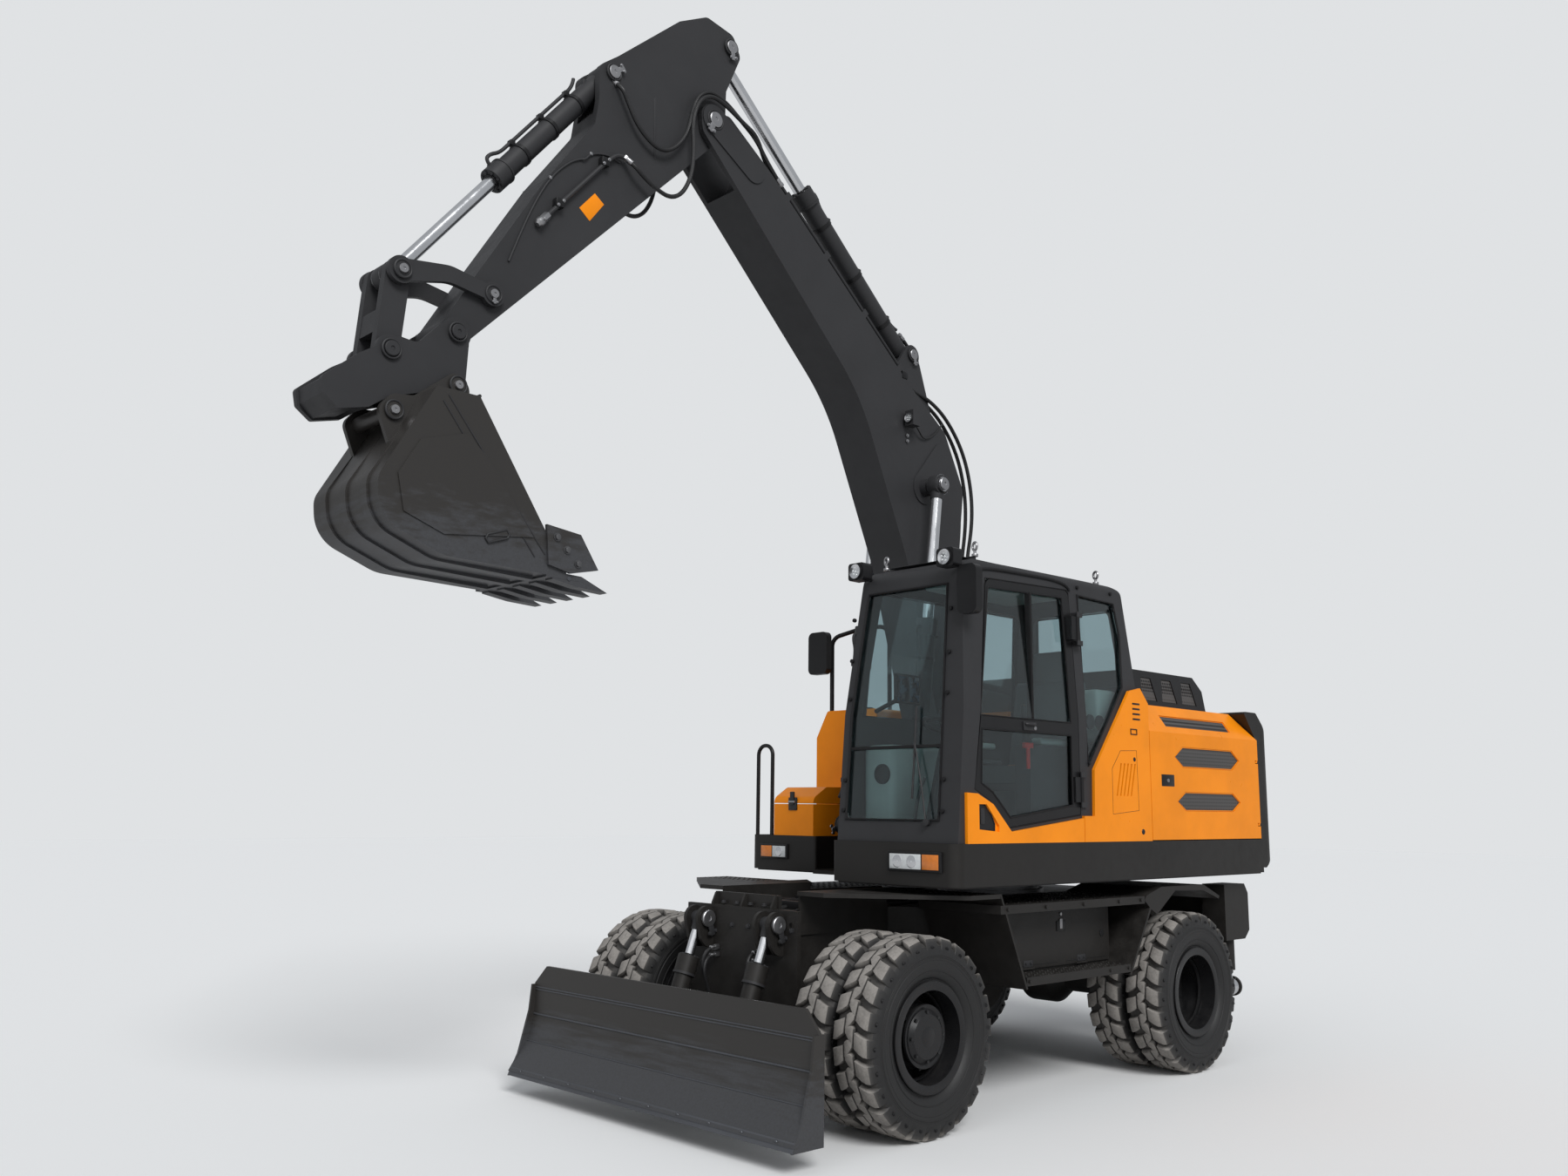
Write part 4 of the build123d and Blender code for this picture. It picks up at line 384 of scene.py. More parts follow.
def build_mesh_sheet():
    """Black punched sheet whose holes are painted near black, as painted shade of the space behind it."""
    tree, shader = plain("mesh")
    punched = bpy.data.node_groups["perforation"]
    solid = add(tree, "ShaderNodeGroup", {"Pitch": 0.024, "Hole": 0.33}, node_tree=punched).outputs["Solid"]
    # The near-black hole colour is painted shade seen through the holes.
    toned(tree, shader, solid, opaque((0.002, 0.002, 0.002)), opaque((0.075, 0.072, 0.070)))
    feed(tree, shader["Roughness"], scaled(tree, solid, -0.45, 0.9))
    relief(tree, shader, solid, 0.5, 0.002)


def lens(name, tint):
    """Ribbed lamp lens."""
    tree, shader = plain(name)
    place = own_place(tree)
    inputs = {"Vector": place, "Scale": RIB_SCALE, "Distortion": 0.0}
    ribs = add(tree, "ShaderNodeTexWave", inputs, bands_direction="X").outputs["Fac"]
    drift = spread(tree, noise(tree, place, 40.0, 2.0), 0.0, 0.35)
    toned(tree, shader, drift, opaque(tint), opaque(tint, 0.6))
    shader["Roughness"].default_value = 0.12
    shader["Coat Weight"].default_value = 0.8
    relief(tree, shader, ribs, LENS_BUMP, 0.002)


def build_screen():
    """Dark display with a faint lit dial."""
    tree, shader = plain("screen")
    glow = ramp(tree, noise(tree, own_place(tree), 22.0, 1.0), 0.45, 0.6)
    toned(tree, shader, glow, opaque((0.01, 0.012, 0.015)), opaque((0.03, 0.06, 0.09)))
    shader["Roughness"].default_value = 0.08


def build_glass():
    """Thin tinted glazing that shows the cab inside."""
    tree, shader = plain("glass")
    tint = bpy.context.scene.excavator_paint.glass
    film = noise(tree, own_place(tree), *FILM)
    toned(tree, shader, spread(tree, film, 0.0, 0.3), opaque(tint), opaque(tint, 0.9))
    feed(tree, shader["Roughness"], spread(tree, film, 0.0, 0.03))
    shader["Transmission Weight"].default_value = 1.0


def build_materials():
    """Every finish of the machine, by name."""
    paint = bpy.context.scene.excavator_paint
    build_weathering()
    build_tyre_dust()
    build_wear_and_sky_light()
    build_perforation()
    finish("charcoal", paint.charcoal, 0.52, 0.02, bump=0.25, grain=420.0, shine=0.36)
    finish("chassis", paint.under, 0.45, paint.dustiness * 0.22, bump=0.3, shine=0.3)
    finish("frame", paint.under, 0.42, 0.02, bump=0.25, grain=420.0, shine=0.3)
    finish("orange", paint.orange, 0.32, bump=0.12, grain=520.0, coat=0.06, shine=0.2)
    finish("black", paint.black, 0.35, 0.05, bump=0.2, grain=420.0, shine=0.3)
    finish("rim", paint.black, 0.3, 0.05, bump=0.15, grain=360.0, shine=0.4)
    finish("hose", paint.black, 0.42, 0.04, bump=0.5, grain=900.0)
    finish("seal", paint.black, 0.55, 0.02, bump=0.2, grain=700.0, shine=0.25)
    finish("chrome", (0.80, 0.81, 0.83), 0.2, metallic=1.0)
    finish("zinc", (0.42, 0.42, 0.43), 0.38, 0.05, metallic=1.0, bump=0.2)
    finish("steel", (0.16, 0.16, 0.165), 0.4, 0.1, metallic=0.9, bump=0.3)
    finish("worn", paint.bare, 0.38, 0.1, metallic=0.6, bump=0.5, grain=160.0)
    finish("casting", (0.10, 0.10, 0.105), 0.6, 0.1, bump=0.8, grain=160.0)
    finish("seat_cloth", paint.seat, 0.55, bump=0.6, grain=60.0, coat=0.6)
    finish("trim", paint.trim, 0.6, bump=0.4, grain=800.0)
    finish("mat", (0.02, 0.02, 0.021), 0.8, bump=0.8, grain=260.0)
    finish("plastic", (0.02, 0.02, 0.022), 0.5, bump=0.4, grain=800.0)
    finish("red", (0.45, 0.015, 0.012), 0.4, bump=0.1)
    build_tyre()
    # The pale bluish lower blade is partly real wear and partly painted sky light and sheen on its
    # upward-facing bands.
    worn_and_sky_lit("blade_steel", 0.10, 0.66, 0.55)
    worn_and_sky_lit("bucket_steel", 2.70, 3.45, 0.6)
    build_mesh_sheet()
    lens("lens", (0.72, 0.75, 0.76))
    lens("amber", paint.amber)
    lens("tail", (0.50, 0.012, 0.010))
    build_screen()
    build_glass()


CAD_FINISH = {
    # finish: nodes
    "charcoal": ("boom", "arm", "boom_barrels", "arm_barrel", "bucket_barrel", "rocker_links", "h_link",
                 "quick_coupler", "cab_shell"),
    "frame": ("upper_frame", "skirt", "counterweight"),
    "chassis": ("chassis_frame", "front_bracket", "front_axle", "rear_axle", "gearbox", "decks", "step_boxes",
                "box_door", "knuckle_left", "knuckle_right", "blade_barrels", "stabiliser_beam_left",
                "stabiliser_beam_right", "stabiliser_barrel_left", "stabiliser_barrel_right"),
    "orange": ("side_panel", "side_door_left", "side_door_right", "fuel_tank", "toolbox", "toolbox_lid",
               "rear_body"),
    "bucket_steel": ("bucket",),
    "blade_steel": ("blade",),
    "rim": ("rims_front_left", "rims_front_right", "rims_rear_left", "rims_rear_right"),
    "black": ("engine_hood", "cab_door", "rails_mirrors", "work_lamps"),
    "chrome": ("boom_rods", "arm_rod", "bucket_rod", "blade_rods", "stabiliser_rod_left",
               "stabiliser_rod_right"),
    "steel": ("slewing_ring",),
    "casting": ("engine",),
    "seat_cloth": ("operator_seat",),
    "plastic": ("cab_controls",),
    "tyre": ("tyres_front_left", "tyres_front_right", "tyres_rear_left", "tyres_rear_right"),
    "glass": ("cab_glass", "door_glass"),
}


# ---------------------------------------------------------------------------- shaping


def at(x, y, z):
    """Point in metres from millimetres about the swing axis."""
    return Vector((x / MM, y / MM + SWING_Y, z / MM))


def verts_of(result):
    """Vertices in an operator's result."""
    return [item for item in result["geom"] if isinstance(item, bmesh.types.BMVert)]


def soften(form, edge, segments=2, lines=None):
    """Round edges of a shape, all of them unless some are named."""
    if edge:
        bmesh.ops.bevel(form, geom=form.edges[:] if lines is None else lines, offset=edge, offset_type="OFFSET",
                        segments=segments, profile=0.5, affect="EDGES", material=-1, clamp_overlap=True)
    return form


def brick(low, high, edge=0.0, segments=2):
    """Box between two corners with rounded edges."""
    form = bmesh.new()
    bmesh.ops.create_cube(form, size=1.0)
    bmesh.ops.scale(form, vec=[abs(value) for value in high - low], verts=form.verts)
    bmesh.ops.translate(form, vec=(low + high) / 2, verts=form.verts)
    return soften(form, edge, segments)


def pointing(start, way):
    """Placement that turns +Z into a direction at a point."""
    return Matrix.Translation(start) @ Vector(way).to_track_quat("Z", "Y").to_matrix().to_4x4()


def round_bar(start, end, radius, tip=None, sides=24, edge=0.0):
    """Round or tapered bar between two points, its rims rounded."""
    form = bmesh.new()
    bmesh.ops.create_cone(form, cap_ends=True, segments=sides, radius1=radius,
                          radius2=radius if tip is None else tip, depth=(end - start).length)
    soften(form, edge, 2, [line for line in form.edges if abs(line.verts[0].co.z - line.verts[1].co.z) < 1e-7])
    bmesh.ops.transform(form, matrix=pointing((start + end) / 2, end - start), verts=form.verts)
    return form


def lathe(profile, centre, axis, sides=48, closed=False):
    """Shape turned about an axis from (along, radius) points."""
    form = bmesh.new()
    ring = [form.verts.new((radius, 0.0, along)) for along, radius in profile]
    lines = [form.edges.new(pair) for pair in zip(ring, ring[1:])]
    if closed:
        lines.append(form.edges.new((ring[-1], ring[0])))
    bmesh.ops.spin(form, geom=ring + lines, cent=(0, 0, 0), axis=(0, 0, 1), angle=math.tau, steps=sides,
                   use_merge=True, use_normal_flip=False, use_duplicate=False)
    bmesh.ops.remove_doubles(form, verts=form.verts, dist=1e-5)
    bmesh.ops.recalc_face_normals(form, faces=form.faces)
    bmesh.ops.transform(form, matrix=pointing(centre, axis), verts=form.verts)
    return form


def plate(corners, thickness, edge=0.0):
    """Flat outline through points in space, thickened along its normal."""
    form = bmesh.new()
    face = form.faces.new([form.verts.new(corner) for corner in corners])
    face.normal_update()
    lift = face.normal * thickness
    grown = bmesh.ops.extrude_face_region(form, geom=[face])
    bmesh.ops.translate(form, vec=lift, verts=verts_of(grown))
    bmesh.ops.recalc_face_normals(form, faces=form.faces)
    return soften(form, edge)


def side_plate(corners, x_low, x_high, edge=0.0):
    """Plate across the machine from (y, z) corners in millimetres."""
    form = plate([at(x_low, y, z) for y, z in corners], 0.001)
    for vert in form.verts:
        if abs(vert.co.x - x_low / MM) > 1e-6:
            vert.co.x = x_high / MM
    bmesh.ops.recalc_face_normals(form, faces=form.faces)
    return soften(form, edge)


def around(form, centre, axis, count):
    """Repeat a shape about an axis."""
    first = form.verts[:] + form.edges[:] + form.faces[:]
    for step in range(1, count):
        copy = bmesh.ops.duplicate(form, geom=first)
        turn = Matrix.Rotation(math.tau * step / count, 3, Vector(axis))
        bmesh.ops.rotate(form, cent=centre, matrix=turn, verts=verts_of(copy))
    return form


def bent_block(stations):
    """Block that passes through sections of four corners each: low back, low front, high back, high front."""
    form = bmesh.new()
    bmesh.ops.create_cube(form, size=1.0)
    bmesh.ops.translate(form, vec=(0.5, 0, 0), verts=form.verts)
    count = len(stations) - 1
    for step in range(1, count):
        bmesh.ops.bisect_plane(form, geom=form.verts[:] + form.edges[:] + form.faces[:],
                               plane_co=(step / count, 0, 0), plane_no=(1, 0, 0))
    for vert in form.verts:
        vert.co = stations[round(vert.co.x * count)][(vert.co.y > 0) + 2 * (vert.co.z > 0)]
    bmesh.ops.recalc_face_normals(form, faces=form.faces)
    return form


def tube(points, radius, rounds, smooth):
    """Tube along points: a smooth run with closed ends, or a bead round a closed outline."""
    data = bpy.data.curves.new("tube", "CURVE")
    data.dimensions = "3D"
    data.bevel_depth = radius
    data.bevel_resolution = rounds
    data.use_fill_caps = smooth
    spline = data.splines.new("NURBS" if smooth else "POLY")
    spline.points.add(len(points) - 1)
    for point, place in zip(spline.points, points):
        point.co = (*place, 1.0)
    if smooth:
        spline.order_u = 3
        spline.use_endpoint_u = True
        spline.resolution_u = 6
    else:
        spline.use_cyclic_u = True
    holder = bpy.data.objects.new("tube", data)
    bpy.context.scene.collection.objects.link(holder)
    mesh = bpy.data.meshes.new_from_object(holder)
    bpy.data.objects.remove(holder)
    bpy.data.curves.remove(data)
    form = bmesh.new()
    form.from_mesh(mesh)
    bpy.data.meshes.remove(mesh)
    bmesh.ops.remove_doubles(form, verts=form.verts, dist=1e-5)
    bmesh.ops.recalc_face_normals(form, faces=form.faces)
    return form


class Piece:
    """A piece being modelled: one mesh in several finishes, its shapes given in millimetres."""

    def __init__(self, name):
        self.name = name
        self.form = bmesh.new()
        self.finishes = []

    def take(self, part, finish, smooth=True):
        """Add a small shape in one finish."""
        if finish not in self.finishes:
            self.finishes.append(finish)
        for face in part.faces:
            face.material_index = self.finishes.index(finish)
            face.smooth = smooth
        mesh = bpy.data.meshes.new("part")
        part.to_mesh(mesh)
        part.free()
        self.form.from_mesh(mesh)
        bpy.data.meshes.remove(mesh)

    def box(self, finish, edge, low, high, segments=2):
        """Rounded box between two corners."""
        self.take(brick(at(*low), at(*high), edge / MM, segments), finish)

    def boxes(self, rows):
        """Rounded boxes from rows of finish, edge and corners."""
        for row in rows:
            self.box(*row)

    def bar(self, finish, start, end, radius, tip=None, sides=24, edge=0.0, smooth=True):
        """Round or tapered bar between two points."""
        tip = None if tip is None else tip / MM
        self.take(round_bar(at(*start), at(*end), radius / MM, tip, sides, edge / MM), finish, smooth)

    def turned(self, finish, profile, centre, axis, sides=48, closed=False):
        """Shape turned about an axis from (along, radius) points."""
        profile = [(along / MM, radius / MM) for along, radius in profile]
        self.take(lathe(profile, at(*centre), axis, sides, closed), finish)

    def hoop(self, finish, centre, radius, thick, sides=32, axis=(1, 0, 0), section=8):
        """Ring of round section."""
        turns = [math.tau * step / section for step in range(section)]
        profile = [(thick * math.sin(turn), radius + thick * math.cos(turn)) for turn in turns]
        self.turned(finish, profile, centre, axis, sides, True)

    def sheet(self, finish, corners, x_low, x_high, edge=0.0):
        """Plate across the machine from (y, z) corners."""
        self.take(side_plate(corners, *sorted((x_low, x_high)), edge / MM), finish)

    def pipe(self, finish, points, radius):
        """Smooth pipe along control points."""
        self.take(tube([at(*point) for point in points], radius / MM, 3, True), finish)

    def bead(self, finish, points, radius):
        """Round bead along a closed outline."""
        self.take(tube([at(*point) for point in points], radius / MM, 2, False), finish)

    def hose(self, points, radius):
        """Rubber hose with a zinc ferrule and hexagon at each end."""
        self.pipe("hose", points, radius)
        for tip, inner in ((points[0], points[1]), (points[-1], points[-2])):
            tip, way = Vector(tip), (Vector(inner) - Vector(tip)).normalized()
            self.bar("zinc", tip, tip + way * radius * 3.4, radius * 1.25, sides=16, edge=radius * 0.15)
            self.bar("zinc", tip - way * radius, tip + way * radius * 0.6, radius * 1.5, sides=6,
                     edge=radius * 0.12, smooth=False)

    def bolt(self, finish, place, way, radius):
        """Hexagon head on its washer."""
        place, way = Vector(place), Vector(way).normalized()
        self.bar(finish, place - way * radius * 0.2, place + way * radius * 0.25, radius * 1.3, sides=16)
        self.bar(finish, place + way * radius * 0.2, place + way * radius * 0.95, radius, sides=6,
                 edge=radius * 0.1, smooth=False)

    def close(self, body=None, slot="dark_paint", crease=35.0):
        """Make the object, sharp past the crease angle, and let it ride on a body."""
        mesh = bpy.data.meshes.new(self.name)
        self.form.to_mesh(mesh)
        self.form.free()
        for finish in self.finishes:
            mesh.materials.append(MATERIALS[finish])
        mesh.set_sharp_from_angle(angle=math.radians(crease))
        piece = bpy.data.objects.new(self.name, mesh)
        bpy.context.scene.collection.objects.link(piece)
        if body:
            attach(piece, body)
        return piece


KEEPER = ((0.1, -1), (1, -0.8), (1, 0.8), (0.1, 1))


def pin_head(piece, x, centre, radius, outward, plate_way=None, finish="zinc", keeper="charcoal"):
    """Round pin end with its keeper plate and bolts."""
    face = Vector((x, *centre))
    out = Vector((outward, 0, 0))
    piece.turned(finish, ((-4, 0), (-4, radius), (10, radius), (14, radius * 0.9), (14, radius * 0.3),
                          (9, radius * 0.24), (9, 0)), face, out, 40)
    if plate_way:
        way = Vector((0, *plate_way)).normalized()
        across = out.cross(way)
        reach = radius * 2.1
        corners = [face + way * a * reach + across * b * radius * 0.42 + out for a, b in KEEPER]
        piece.take(plate([at(*corner) for corner in corners], 0.009 * outward, 0.0015), keeper)
        for half in (-0.3, 0.3):
            spot = face + way * reach * 0.82 + across * radius * half * 1.6 + out * 10
            piece.bolt(keeper, spot, out, radius * 0.2)


def spots_round(way, count):
    """Unit vectors all round a direction."""
    first = way.orthogonal().normalized()
    return [Matrix.Rotation(math.tau * step / count, 3, way) @ first for step in range(count)]


def gland(piece, centre, way, ring, size, collar, wiper, sides):
    """Bolt circle, collar and wiper at the open end of a barrel."""
    for spot in spots_round(way, 8):
        piece.bolt("charcoal", centre + spot * ring, way, size)
    piece.turned("charcoal", collar, centre, way, sides, True)
    piece.turned("black", wiper, centre, way, sides - 8, True)


def toward(start, end, distance):
    """Point at a distance from one (y, z) point to another."""
    gap = math.dist(start, end)
    return tuple(a + (b - a) * distance / gap for a, b in zip(start, end))


def loop_hose(name, points, radius):
    """Hose that bends over a joint."""
    piece = Piece(name)
    piece.hose(points, radius)
    made = piece.close(None, "tyre")
    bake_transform(made)


# ---------------------------------------------------------------------------- wheels

TWIN_X = 954.5
TWIN_HALF = 151.5
WHEELS = {
    # body: side, axle y, its axle
    f"wheel_{axle}_{side}": (hand, axle_y, axle)
    for axle, axle_y in (("front", FRONT_AXLE_Y), ("rear", REAR_AXLE_Y)) for side, hand in SIDES
}
SHOULDER_LUG = (
    # across, lead, width, crown radius, foot radius
    (38, -30, 84, 527, 484), (70, -12, 94, 527.4, 484), (100, 0, 98, 525, 478), (119, 4, 98, 514, 462),
    (130, 7, 94, 486, 440), (136.5, 9, 80, 448, 428),
)
CENTRE_LUG = (
    (-26, -74, 22, 527, 484), (-6, -68, 62, 527.4, 484), (14, -58, 80, 527.4, 484), (29, -47, 78, 527, 484),
)
CROWN_SHARE = 0.93
LUG_EDGE = 0.0032
LUG_CREASE = 40
TYRE_HALF = (
    # across, radius
    (-98, 262), (-99, 300), (-112, 312), (-128, 336), (-136, 372), (-138.5, 395), (-136.5, 399), (-138.5, 403),
    (-139, 430), (-134, 456), (-124, 476), (-100, 489), (-50, 494),
)
TYRE_SECTION = (*TYRE_HALF, *[(-across, radius) for across, radius in reversed(TYRE_HALF)])
PIT = ((129.5, 8, -470), (136.2, 9, -464))  # ends of the pit at the foot of a shoulder lug
WALL_RINGS = ((300, 99.5), (345, 130.5), (418, 138.5), (427, 138.5))  # radius, distance from the tyre's middle
FLANGE = ((0, 243.5), (1.5, 247), (1.5, 289), (-2, 291.5), (-2, 243.5))
RIM_LIP = ((0, 240), (12, 236), (14, 226), (0, 222))
HUB_BOLTS = {
    # axle: count, distance out, ring, size, turn of the first
    "front": ((10, 20, 222, 13.5, math.tau / 20), (8, 235, 128, 9.5, 0.0), (3, 200, 168, 7, 0.4)),
    "rear": ((10, 12, 216, 13.5, math.tau / 20), (12, 61, 96, 10, 0.0)),
}
HUB_CAPS = {
    # axle: profile and whether it is closed
    "front": ((((243, 0), (246.5, 0), (246.5, 50), (244.5, 56), (244.5, 96), (242, 100)), False),
              (((222, 143), (228, 158), (226, 166), (214, 168), (206, 150)), True)),
    "rear": ((((60, 0), (85, 0), (85, 45), (78, 60), (60, 64)), False),),
}


def lug(half, section):
    """One tread block through its sections, at the foot of a tyre on the origin."""
    stations = []
    for across, lead, width, crown, foot in section:
        corners = []
        for radius, narrowed in ((foot, 1.0), (crown, CROWN_SHARE)):
            for edge in (-0.5, 0.5):
                place = lead + edge * width * narrowed
                down = math.sqrt(radius * radius - place * place)
                corners.append((half * across / MM, place / MM, -down / MM))
        stations.append(corners)
    form = bent_block(stations)
    limit = math.radians(LUG_CREASE)
    sharp = [line for line in form.edges if len(line.link_faces) == 2 and line.calc_face_angle() > limit]
    return soften(form, LUG_EDGE, 2, sharp)


def set_round(form, centre, start, count):
    """Turn a shape by part of a pitch, repeat it about the axle and set it on its tyre."""
    turn = Matrix.Rotation(math.tau * start / count, 3, "X")
    bmesh.ops.rotate(form, cent=(0, 0, 0), matrix=turn, verts=form.verts)
    around(form, (0, 0, 0), (1, 0, 0), count)
    bmesh.ops.translate(form, vec=at(*centre), verts=form.verts)
    return form


class EXCAVATOR_OT_tyres(bpy.types.Operator):
    """Build the twin tyres with their slanted lugs"""

    bl_idname = "excavator.tyres"
    bl_label = "Tyres"

    def execute(self, context):
        lugs = context.scene.excavator_sizes.lugs
        for body, (hand, axle_y, _) in WHEELS.items():
            piece = Piece(body.replace("wheel", "tyre_pair"))
            for offset in (-TWIN_HALF, TWIN_HALF):
                middle = hand * (TWIN_X + offset)
                centre = (middle, axle_y, HUB_Z)
                piece.turned("tyre", TYRE_SECTION, centre, (1, 0, 0), 72, True)
                for half in (-1, 1):
                    pit = round_bar(*[Vector((half * x, y, z)) / MM for x, y, z in PIT], 0.011, sides=14)
                    piece.take(set_round(pit, centre, 0.5 * (half < 0), lugs), "seal")
                    for radius, lift in WALL_RINGS:
                        piece.hoop("tyre", (middle + half * lift, axle_y, HUB_Z), radius, 2.8, 72, section=6)
                for section in (SHOULDER_LUG, CENTRE_LUG):
                    for half, start in ((1, 0.0), (-1, 0.5)):
                        piece.take(set_round(lug(half, section), centre, start, lugs), "tyre")
            made = piece.close(body, "tyre", 32.0)
            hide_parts(body.replace("wheel", "tyres"))
        return {"FINISHED"}


class EXCAVATOR_OT_hubs(bpy.types.Operator):
    """Build the wheel nuts, hub caps, flange rings and valves"""

    bl_idname = "excavator.hubs"
    bl_label = "Hubs"

    def execute(self, context):
        for body, (hand, axle_y, axle) in WHEELS.items():
            piece = Piece(body.replace("wheel", "hub"))
            out = Vector((hand, 0, 0))

            def on(offset, radius=0.0, turn=0.0):
                x = hand * (TWIN_X + offset)
                return (x, axle_y + radius * math.cos(turn), HUB_Z + radius * math.sin(turn))

            for way in (1, -1):
                piece.turned("rim", FLANGE, on(way * 266.5), out * way, 64, True)
            piece.turned("rim", RIM_LIP, on(150), out, 64, True)
            for count, offset, ring, size, first in HUB_BOLTS[axle]:
                for step in range(count):
                    piece.bolt("rim", on(offset, ring, math.tau * step / count + first), out, size)
            for profile, closed in HUB_CAPS[axle]:
                piece.turned("rim", profile, on(0), out, 48, closed)
            piece.bar("rim", on(30, 236, 2.1), on(95, 228, 2.1), 5, sides=12)
            piece.close(body)
        return {"FINISHED"}


# ---------------------------------------------------------------------------- undercarriage

BLADE_CYL_X = (-306.0, 306.0)
BLADE_FOOT = (-2400.0, 350.0)
BLADE_HEAD = (-2140.0, 1070.0)
BLADE_HALF = 1228.0
BLADE_WELDS = ((-2682, 618, 4), (-2683, 604, 4), (-2689, 459, 6), (-2733, 305, 4))  # y, z, radius
CUTTING_EDGE = ((-2834, 160), (-2852, 112), (-2842, 111), (-2822, 160))
BLADE_COLLAR = ((-112, 54), (-112, 68.5), (-98, 68.5), (-98, 54))
BLADE_WIPER = ((0, 29), (0, 37), (12, 36), (12, 29))
LOCK = ((0, 24), (4, 23), (6, 12), (3, 0))
TREADS = (
    # x from the middle, y range, z, pitch of the dots
    ((1024, 1192), (-895, 204), 765, 42), ((600, 1180), (-1400, -1160), 1250, 48),
    ((620, 1180), (-1120, 400), 1184, 58),
)
BOX_DOOR_BOXES = (
    # finish, edge, low corner, high corner
    ("black", 3, (1022, -345, 985), (1029, -250, 1050)),
    ("zinc", 2, (1026, -312, 1000), (1030.5, -283, 1062)),
)
BOX_DOOR_SEAMS = (
    ("black", 0, (1023, -860, 800), (1025.5, -340, 803)), ("black", 0, (1023, -250, 800), (1025.5, 228, 803)),
    ("black", 0, (1023, -860, 1105), (1025.5, 228, 1108)),
)


def dots(piece, x_range, y_range, z, pitch):
    """Raised anti-slip dots over a rectangle."""
    across = int((x_range[1] - x_range[0]) / pitch)
    for row in range(int((y_range[1] - y_range[0]) / pitch)):
        for column in range(across):
            x = x_range[0] + (column + 0.5 + 0.25 * (row % 2)) * pitch
            y = y_range[0] + (row + 0.5) * pitch
            piece.bar("chassis", (x, y, z - 1), (x, y, z + 3), 8.5, 6, 10)


class EXCAVATOR_OT_blade_details(bpy.types.Operator):
    """Build the blade's welds, cutting edge and bolts"""

    bl_idname = "excavator.blade_details"
    bl_label = "Blade details"

    def execute(self, context):
        piece = Piece("blade_fittings")
        for y, z, radius in BLADE_WELDS:
            piece.bar("worn", (-BLADE_HALF, y, z), (BLADE_HALF, y, z), radius, sides=12)
        piece.sheet("worn", CUTTING_EDGE, -1243, 1243, 2)
        for step in range(10):
            x = -1120 + step * 249
            piece.bar("worn", (x, -2838, 147), (x, -2845, 144), 11, sides=16, edge=2)
        for hand in (-1, 1):
            for y, z in ((-2660, 605), (-2690, 560), (-2700, 300)):
                piece.bar("black", (hand * 1240, y, z), (hand * 1244.6, y, z), 14, sides=20)
            for z in (690, 540, 400):
                piece.bar("black", (hand * 1090, -2610, z), (hand * 1090, -2596, z), 16, sides=6, smooth=False)
        for x in BLADE_CYL_X:
            for hand in (-1, 1):
                pin_head(piece, x + hand * 93, BLADE_FOOT, 34, hand, None, "steel")
        piece.close("blade")
        return {"FINISHED"}


class EXCAVATOR_OT_blade_rams(bpy.types.Operator):
    """Build the blade cylinders' glands, ports, pins and hoses"""

    bl_idname = "excavator.blade_rams"
    bl_label = "Blade cylinders"

    def execute(self, context):
        way = Vector((0, BLADE_HEAD[0] - BLADE_FOOT[0], BLADE_HEAD[1] - BLADE_FOOT[1])).normalized()
        back = Vector((0, way.z, -way.y))
        rams = Piece("blade_glands")
        bracket = Piece("blade_head_pins")
        for x in BLADE_CYL_X:

            def along(distance):
                return Vector((x, *toward(BLADE_FOOT, BLADE_HEAD, distance)))

            gland(rams, along(530), way, 51, 8, BLADE_COLLAR, BLADE_WIPER, 40)
            for distance in (120, 470):
                port = along(distance)
                rams.bar("charcoal", port + back * 40, port + back * 78, 17, sides=16, edge=2)
            for hand in (-1, 1):
                pin_head(bracket, x + hand * 78, BLADE_HEAD, 50, hand, (0.35, -1))
                pin_head(bracket, x + hand * 104, (-2170, 480), 52, hand, (0.5, 1))
            side, hand = SIDES[x < 0]
            for step, drop in enumerate((0, 44)):
                foot = Vector((x - hand * 118, -2087, 905 - drop))
                start = foot + Vector((0, -30, 0))
                bracket.bar("zinc", foot, start, 17, sides=6, edge=2, smooth=False)
                port = along(150 + 62 * step)
                out = Vector((hand, 0, 0))
                rams.bar("charcoal", port - out * 45, port - out * 78, 18, sides=20, edge=2)
                end = port - out * (88 + 12 * step)
                swell = out * (12 - 20 * step)
                points = (start, start + Vector((0, -60, -4)), start + swell + Vector((0, -95, -90)),
                          start + swell + Vector((0, -50, -200)), start + swell * 1.4 + Vector((0, -30, -300)),
                          end + Vector((-hand * 20, 60, 50)), end)
                loop_hose(f"blade_hose_{side}_{step}", points, 11)
        for x in (-440, -70, 70, 440):
            for z in (470, 1040):
                bracket.bolt("charcoal", (x, -2086, z), (0, -1, 0), 13)
        for x in (-180, -60, 60, 180):
            bracket.bolt("charcoal", (x, -2061, 1165), (0, 0, 1), 12)
        bracket.close("chassis")
        rams.close("blade_barrels")
        return {"FINISHED"}


